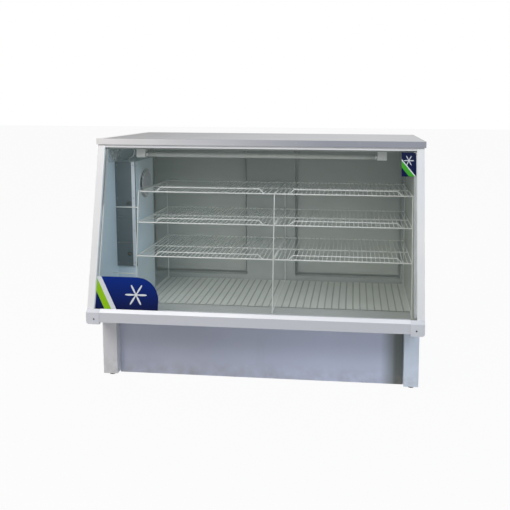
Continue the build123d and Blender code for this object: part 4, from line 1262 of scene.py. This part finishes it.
@dataclass
class WireShelf:
    """One shelf: wires front to back on three bars, side bars and a raised front fence."""

    node: str
    level: float
    fence: Pair
    bar: float = 0.0025
    wire: float = 0.0019
    bar_round: float = 0.0036
    fence_round: float = 0.0030
    pitch: float = 0.023
    fence_height: float = 0.025
    fence_slant: float = 0.025
    cross_share: float = 0.45
    wire_lift: float = 0.8
    wire_over: float = 0.5

    def build(self, finish: CoatedWire) -> None:
        """Make the shelf in place of its solid.

        Args:
            finish: The wires' coating.
        """
        low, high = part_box(self.node)
        front, back = low[1] + self.bar, high[1] - self.bar
        cross = front + self.cross_share * (back - front)
        bars = [((low[0], y, self.level), (high[0], y, self.level)) for y in (front, cross, back)]
        bars += [((x, front, self.level), (x, back, self.level))
                 for x in (low[0] + self.bar, high[0] - self.bar)]
        left, right = self.fence
        top = self.level + self.fence_height
        corners = [(left, front, self.level), (left + self.fence_slant, front, top),
                   (right - self.fence_slant, front, top), (right, front, self.level)]
        count = int((high[0] - low[0] - self.pitch) / self.pitch)
        places = (low[0] + high[0]) / 2 + (np.arange(count) - (count - 1) / 2) * self.pitch
        height = self.level + self.bar + self.wire * self.wire_lift
        wires = [((x, front, height), (x, back + self.bar * self.wire_over, height)) for x in places]
        points = np.concatenate([
            rods(bars, self.bar_round), rods(list(zip(corners, corners[1:])), self.fence_round),
            rods(wires, self.wire),
        ])
        piece = surface(f"wires_{self.node}", points, finish, wrap=True)
        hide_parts(self.node)


@dataclass
class Racking(Assembly):
    """Wire sides and six shelves."""

    levels: tuple[float, float, float] = (0.963, 0.800, 0.623)
    left_fence: Pair = (-0.570, 0.014)
    right_fence: Pair = (0.146, 0.7347)

    def build(self) -> None:
        """Dress the sides and make the shelves."""
        coating = CoatedWire("shelf_coating", ink("f4f6f3"), ink("e8eae4"))
        self.dress(coating, "rack_side_left", "rack_side_middle", "rack_side_right")
        for level, place in zip(self.levels, ("top", "middle", "bottom")):
            WireShelf(f"shelf_left_{place}", level, self.left_fence).build(coating)
            WireShelf(f"shelf_right_{place}", level, self.right_fence).build(coating)


@dataclass
class Lighting(Assembly):
    """Lamp tube and its holders."""

    radius: float = 0.013
    glass_step: float = 0.0006
    cap: float = 0.012
    cap_chamfer: Pair = (0.0008, 0.0012)
    pin: float = 0.006
    pin_radius: float = 0.0012
    pin_root: float = 0.001
    pin_shift: float = 0.00635

    def build(self) -> None:
        """Dress the holders and make the tube with its metal caps and pins, in place of its solid."""
        self.dress(Moulded("holder_plastic", ink("e8e9e6"), ink("dcdeda"), roughness=0.35), "lampholders")
        low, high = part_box("light_tube")
        centre = [(low[axis] + high[axis]) / 2 for axis in range(3)]
        half = (high[0] - low[0]) / 2 - self.pin
        inner, (along, across) = half - self.cap, self.cap_chamfer
        side = [(inner, self.radius - self.glass_step), (inner, self.radius),
                (half - along, self.radius), (half, self.radius - across), (half, 0.0)]
        profile = [(-x, r) for x, r in reversed(side)] + side
        tube = surface("lamp_tube", turned(profile, centre), LampTube("lamp_tube", half, self.cap),
                       wrap=True)
        runs = [((centre[0] + end * (half - self.pin_root), centre[1] + shift, centre[2]),
                 (centre[0] + end * (half + self.pin), centre[1] + shift, centre[2]))
                for end in (-1, 1) for shift in (-self.pin_shift, self.pin_shift)]
        pins = surface("lamp_pins", rods(runs, self.pin_radius), RIVET, wrap=True)
        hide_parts("light_tube")
        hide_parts("light_tube")


@dataclass
class ServiceSide(Assembly):
    """Rear doors, handles and the controls."""

    door_face: float = 0.006
    marks: Heads = Heads(0.0014, 0.0005, MARK_INK, "black_plastic")
    mark_count: int = 11
    mark_turn: float = 135.0
    mark_gap: float = 0.006
    screws: Heads = Heads(0.0036, 0.0014, SCREW_STEEL)
    screw_inset: float = 0.012
    screw_lift: float = 0.012

    def build(self) -> None:
        """Dress the service side, with painted shade darkening the doors' inner faces towards the top, and
        add screws and dial marks.
        """
        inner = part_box("door_left")[0][1] + self.door_face
        # Painted shade under the worktop: the doors' inner faces darken towards the top.
        top_shade = Zone(Axis.UP, *SHADE_HEIGHTS, ink("a4a7a3"), inner)
        self.dress(PaintedSheet("door_paint", ink("d6d9d4"), ink("c6cac6"), roughness=0.38, zones=(top_shade,)),
                   "door_left", "door_right")
        self.dress(Moulded("gasket_rubber", ink("787c7c"), ink("686c6c"), roughness=0.65),
                   "door_gasket_left", "door_gasket_right")
        self.dress(Moulded("handle_plastic", ink("202123"), ink("2a2b2d"), roughness=0.48, grain=800.0,
                           relief=0.0003),
                   "door_handle_left", "door_handle_right", "thermostat_knob", "light_switch")
        self.dress(Moulded("control_plastic", ink("bcbec2"), ink("b0b2b8"), roughness=0.5), "control_panel")
        self.dial_marks()
        self.control_screws()

    def dial_marks(self) -> None:
        """Raised marks round the knob, each at the sine and cosine of its turn times their reach."""
        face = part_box("control_panel")[1][1]
        low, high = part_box("thermostat_knob")
        x, z = (low[0] + high[0]) / 2, (low[2] + high[2]) / 2
        turn = np.radians(np.linspace(-self.mark_turn, self.mark_turn, self.mark_count))
        reach = (high[0] - low[0]) / 2 + self.mark_gap
        centres = np.stack(
            [x + reach * np.sin(turn), np.full_like(turn, face), z + reach * np.cos(turn)], axis=-1
        )
        self.marks.place("dial_marks", centres, Vector((0, 1, 0)))

    def control_screws(self) -> None:
        """Screws at the control box's corners, the lower ones lifted clear of its fold."""
        low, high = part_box("control_panel")
        corners = [(x, high[1], z) for x in (low[0] + self.screw_inset, high[0] - self.screw_inset)
                   for z in (low[2] + self.screw_inset + self.screw_lift, high[2] - self.screw_inset)]
        self.screws.place("control_screws", corners, Vector((0, 1, 0)))


@dataclass(frozen=True)
class Lamp:
    """A square soft lamp: place, the point that it faces, side, power in watts and colour."""

    name: str
    at: Colour
    towards: Colour
    size: float
    power: float
    colour: Colour

    def place(self) -> None:
        """Put the lamp into the scene."""
        data = bpy.data.lights.new(self.name, "AREA")
        data.shape = "SQUARE"
        data.size = self.size
        data.energy = self.power
        data.color = self.colour
        made = link_new(self.name, data)
        made.location = self.at
        made.rotation_euler = (Vector(self.towards) - Vector(self.at)).to_track_quat("-Z", "Y").to_euler()


@dataclass
class Studio:
    """Pale floor, soft lamps, white background and the camera of the photograph."""

    eye: Colour = (0.48682, -2.91148, 1.43201)
    yaw: float = 0.0793
    pitch: float = -0.0933
    roll: float = 0.0054
    focal: float = 539.34
    frame_pixels: float = 510.0
    middle: Pair = (312.31, 154.89)
    sensor: float = 36.0
    sight: float = 200.0
    floor_reach: float = 30.0
    floor_colour: Colour = ink("bcbcbc")
    floor_glow: float = 0.95
    ambient: float = 0.34
    sky: Colour = (0.95, 0.97, 1.0)
    white: Colour = (1.0, 1.0, 1.0)
    lamps: tuple[Lamp, ...] = (
        Lamp("key_lamp", (-1.9, -2.9, 4.0), (-0.1, -0.3, 0.7), 2.4, 116.0, (1.0, 0.965, 0.935)),
        Lamp("fill_lamp", (3.0, -2.4, 3.4), (0.3, -0.2, 0.7), 2.2, 64.0, (0.78, 0.89, 1.0)),
        Lamp("back_lamp", (-0.6, 2.2, 5.4), (0.0, 0.2, 0.8), 2.4, 60.0, (1.0, 1.0, 1.0)),
    )

    def build(self) -> None:
        """Make the floor, the world, the lamps and the camera."""
        self.floor()
        self.world()
        for lamp in self.lamps:
            lamp.place()
        self.camera()

    def floor(self) -> None:
        """A wide pale floor that shows near white to the eye and keeps a soft shadow."""
        span = np.linspace(-self.floor_reach, self.floor_reach, 3)
        x, y = np.meshgrid(span, span)
        mesh = grid_mesh("studio_floor", np.stack([x, y, 0.0 * x], axis=-1)[None])
        graph = Graph("studio_floor")
        plain = graph.node("ShaderNodeBsdfDiffuse", {}, {"Color": self.floor_colour})
        bright = graph.node("ShaderNodeEmission", {}, {"Color": self.white, "Strength": 1.0})
        share = graph.seen() * self.floor_glow
        mixed = graph.node("ShaderNodeMixShader", {}, {0: share, 1: plain, 2: bright})
        mesh.materials.append(graph.close(mixed))
        link_new("studio_floor", mesh)

    def world(self) -> None:
        """White to the eye and in reflections, softer as light."""
        graph = Graph("studio_world", world=True)
        soft = graph.node("ShaderNodeBackground", {}, {"Color": self.sky, "Strength": self.ambient})
        white = graph.node("ShaderNodeBackground", {}, {"Color": self.white, "Strength": 1.0})
        mixed = graph.node("ShaderNodeMixShader", {}, {0: graph.seen(), 1: soft, 2: white})
        bpy.context.scene.world = graph.close(mixed)

    def camera(self) -> None:
        """The photograph's camera, turned by yaw, pitch and roll, its shift from the picture's middle."""
        ahead = Vector((-np.sin(self.yaw) * np.cos(self.pitch), np.cos(self.yaw) * np.cos(self.pitch),
                        np.sin(self.pitch)))
        right = Vector((np.cos(self.yaw), np.sin(self.yaw), 0.0))
        up = right.cross(ahead)
        level = right * np.cos(self.roll) + up * np.sin(self.roll)
        upright = up * np.cos(self.roll) - right * np.sin(self.roll)
        data = bpy.data.cameras.new("photo_camera")
        data.sensor_fit = "HORIZONTAL"
        data.sensor_width = self.sensor
        data.lens = self.focal / self.frame_pixels * self.sensor
        data.shift_x = (self.frame_pixels / 2 - self.middle[0]) / self.frame_pixels
        data.shift_y = (self.middle[1] - self.frame_pixels / 2) / self.frame_pixels
        data.clip_end = self.sight
        made = link_new("photo_camera", data)
        turn = Matrix((level, upright, -ahead)).transposed().to_4x4()
        made.matrix_world = Matrix.Translation(self.eye) @ turn
        bpy.context.scene.camera = made


def main() -> None:
    """Build and dress the counter."""
    logging.basicConfig(level=logging.INFO, format="%(message)s")
    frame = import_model()
    bpy.context.scene.view_settings.view_transform = "Standard"
    pane = FrontGlass(frame)
    for assembly in (Base(frame), CondensingUnit(frame), Cabinet(frame), pane, LooseFilm(frame),
                     Stickers(frame, pane), Evaporator(frame), Racking(frame), Lighting(frame),
                     ServiceSide(frame), Studio()):
        LOG.info("building %s", type(assembly).__name__)
        assembly.build()


if __name__ == "__main__":
    main()
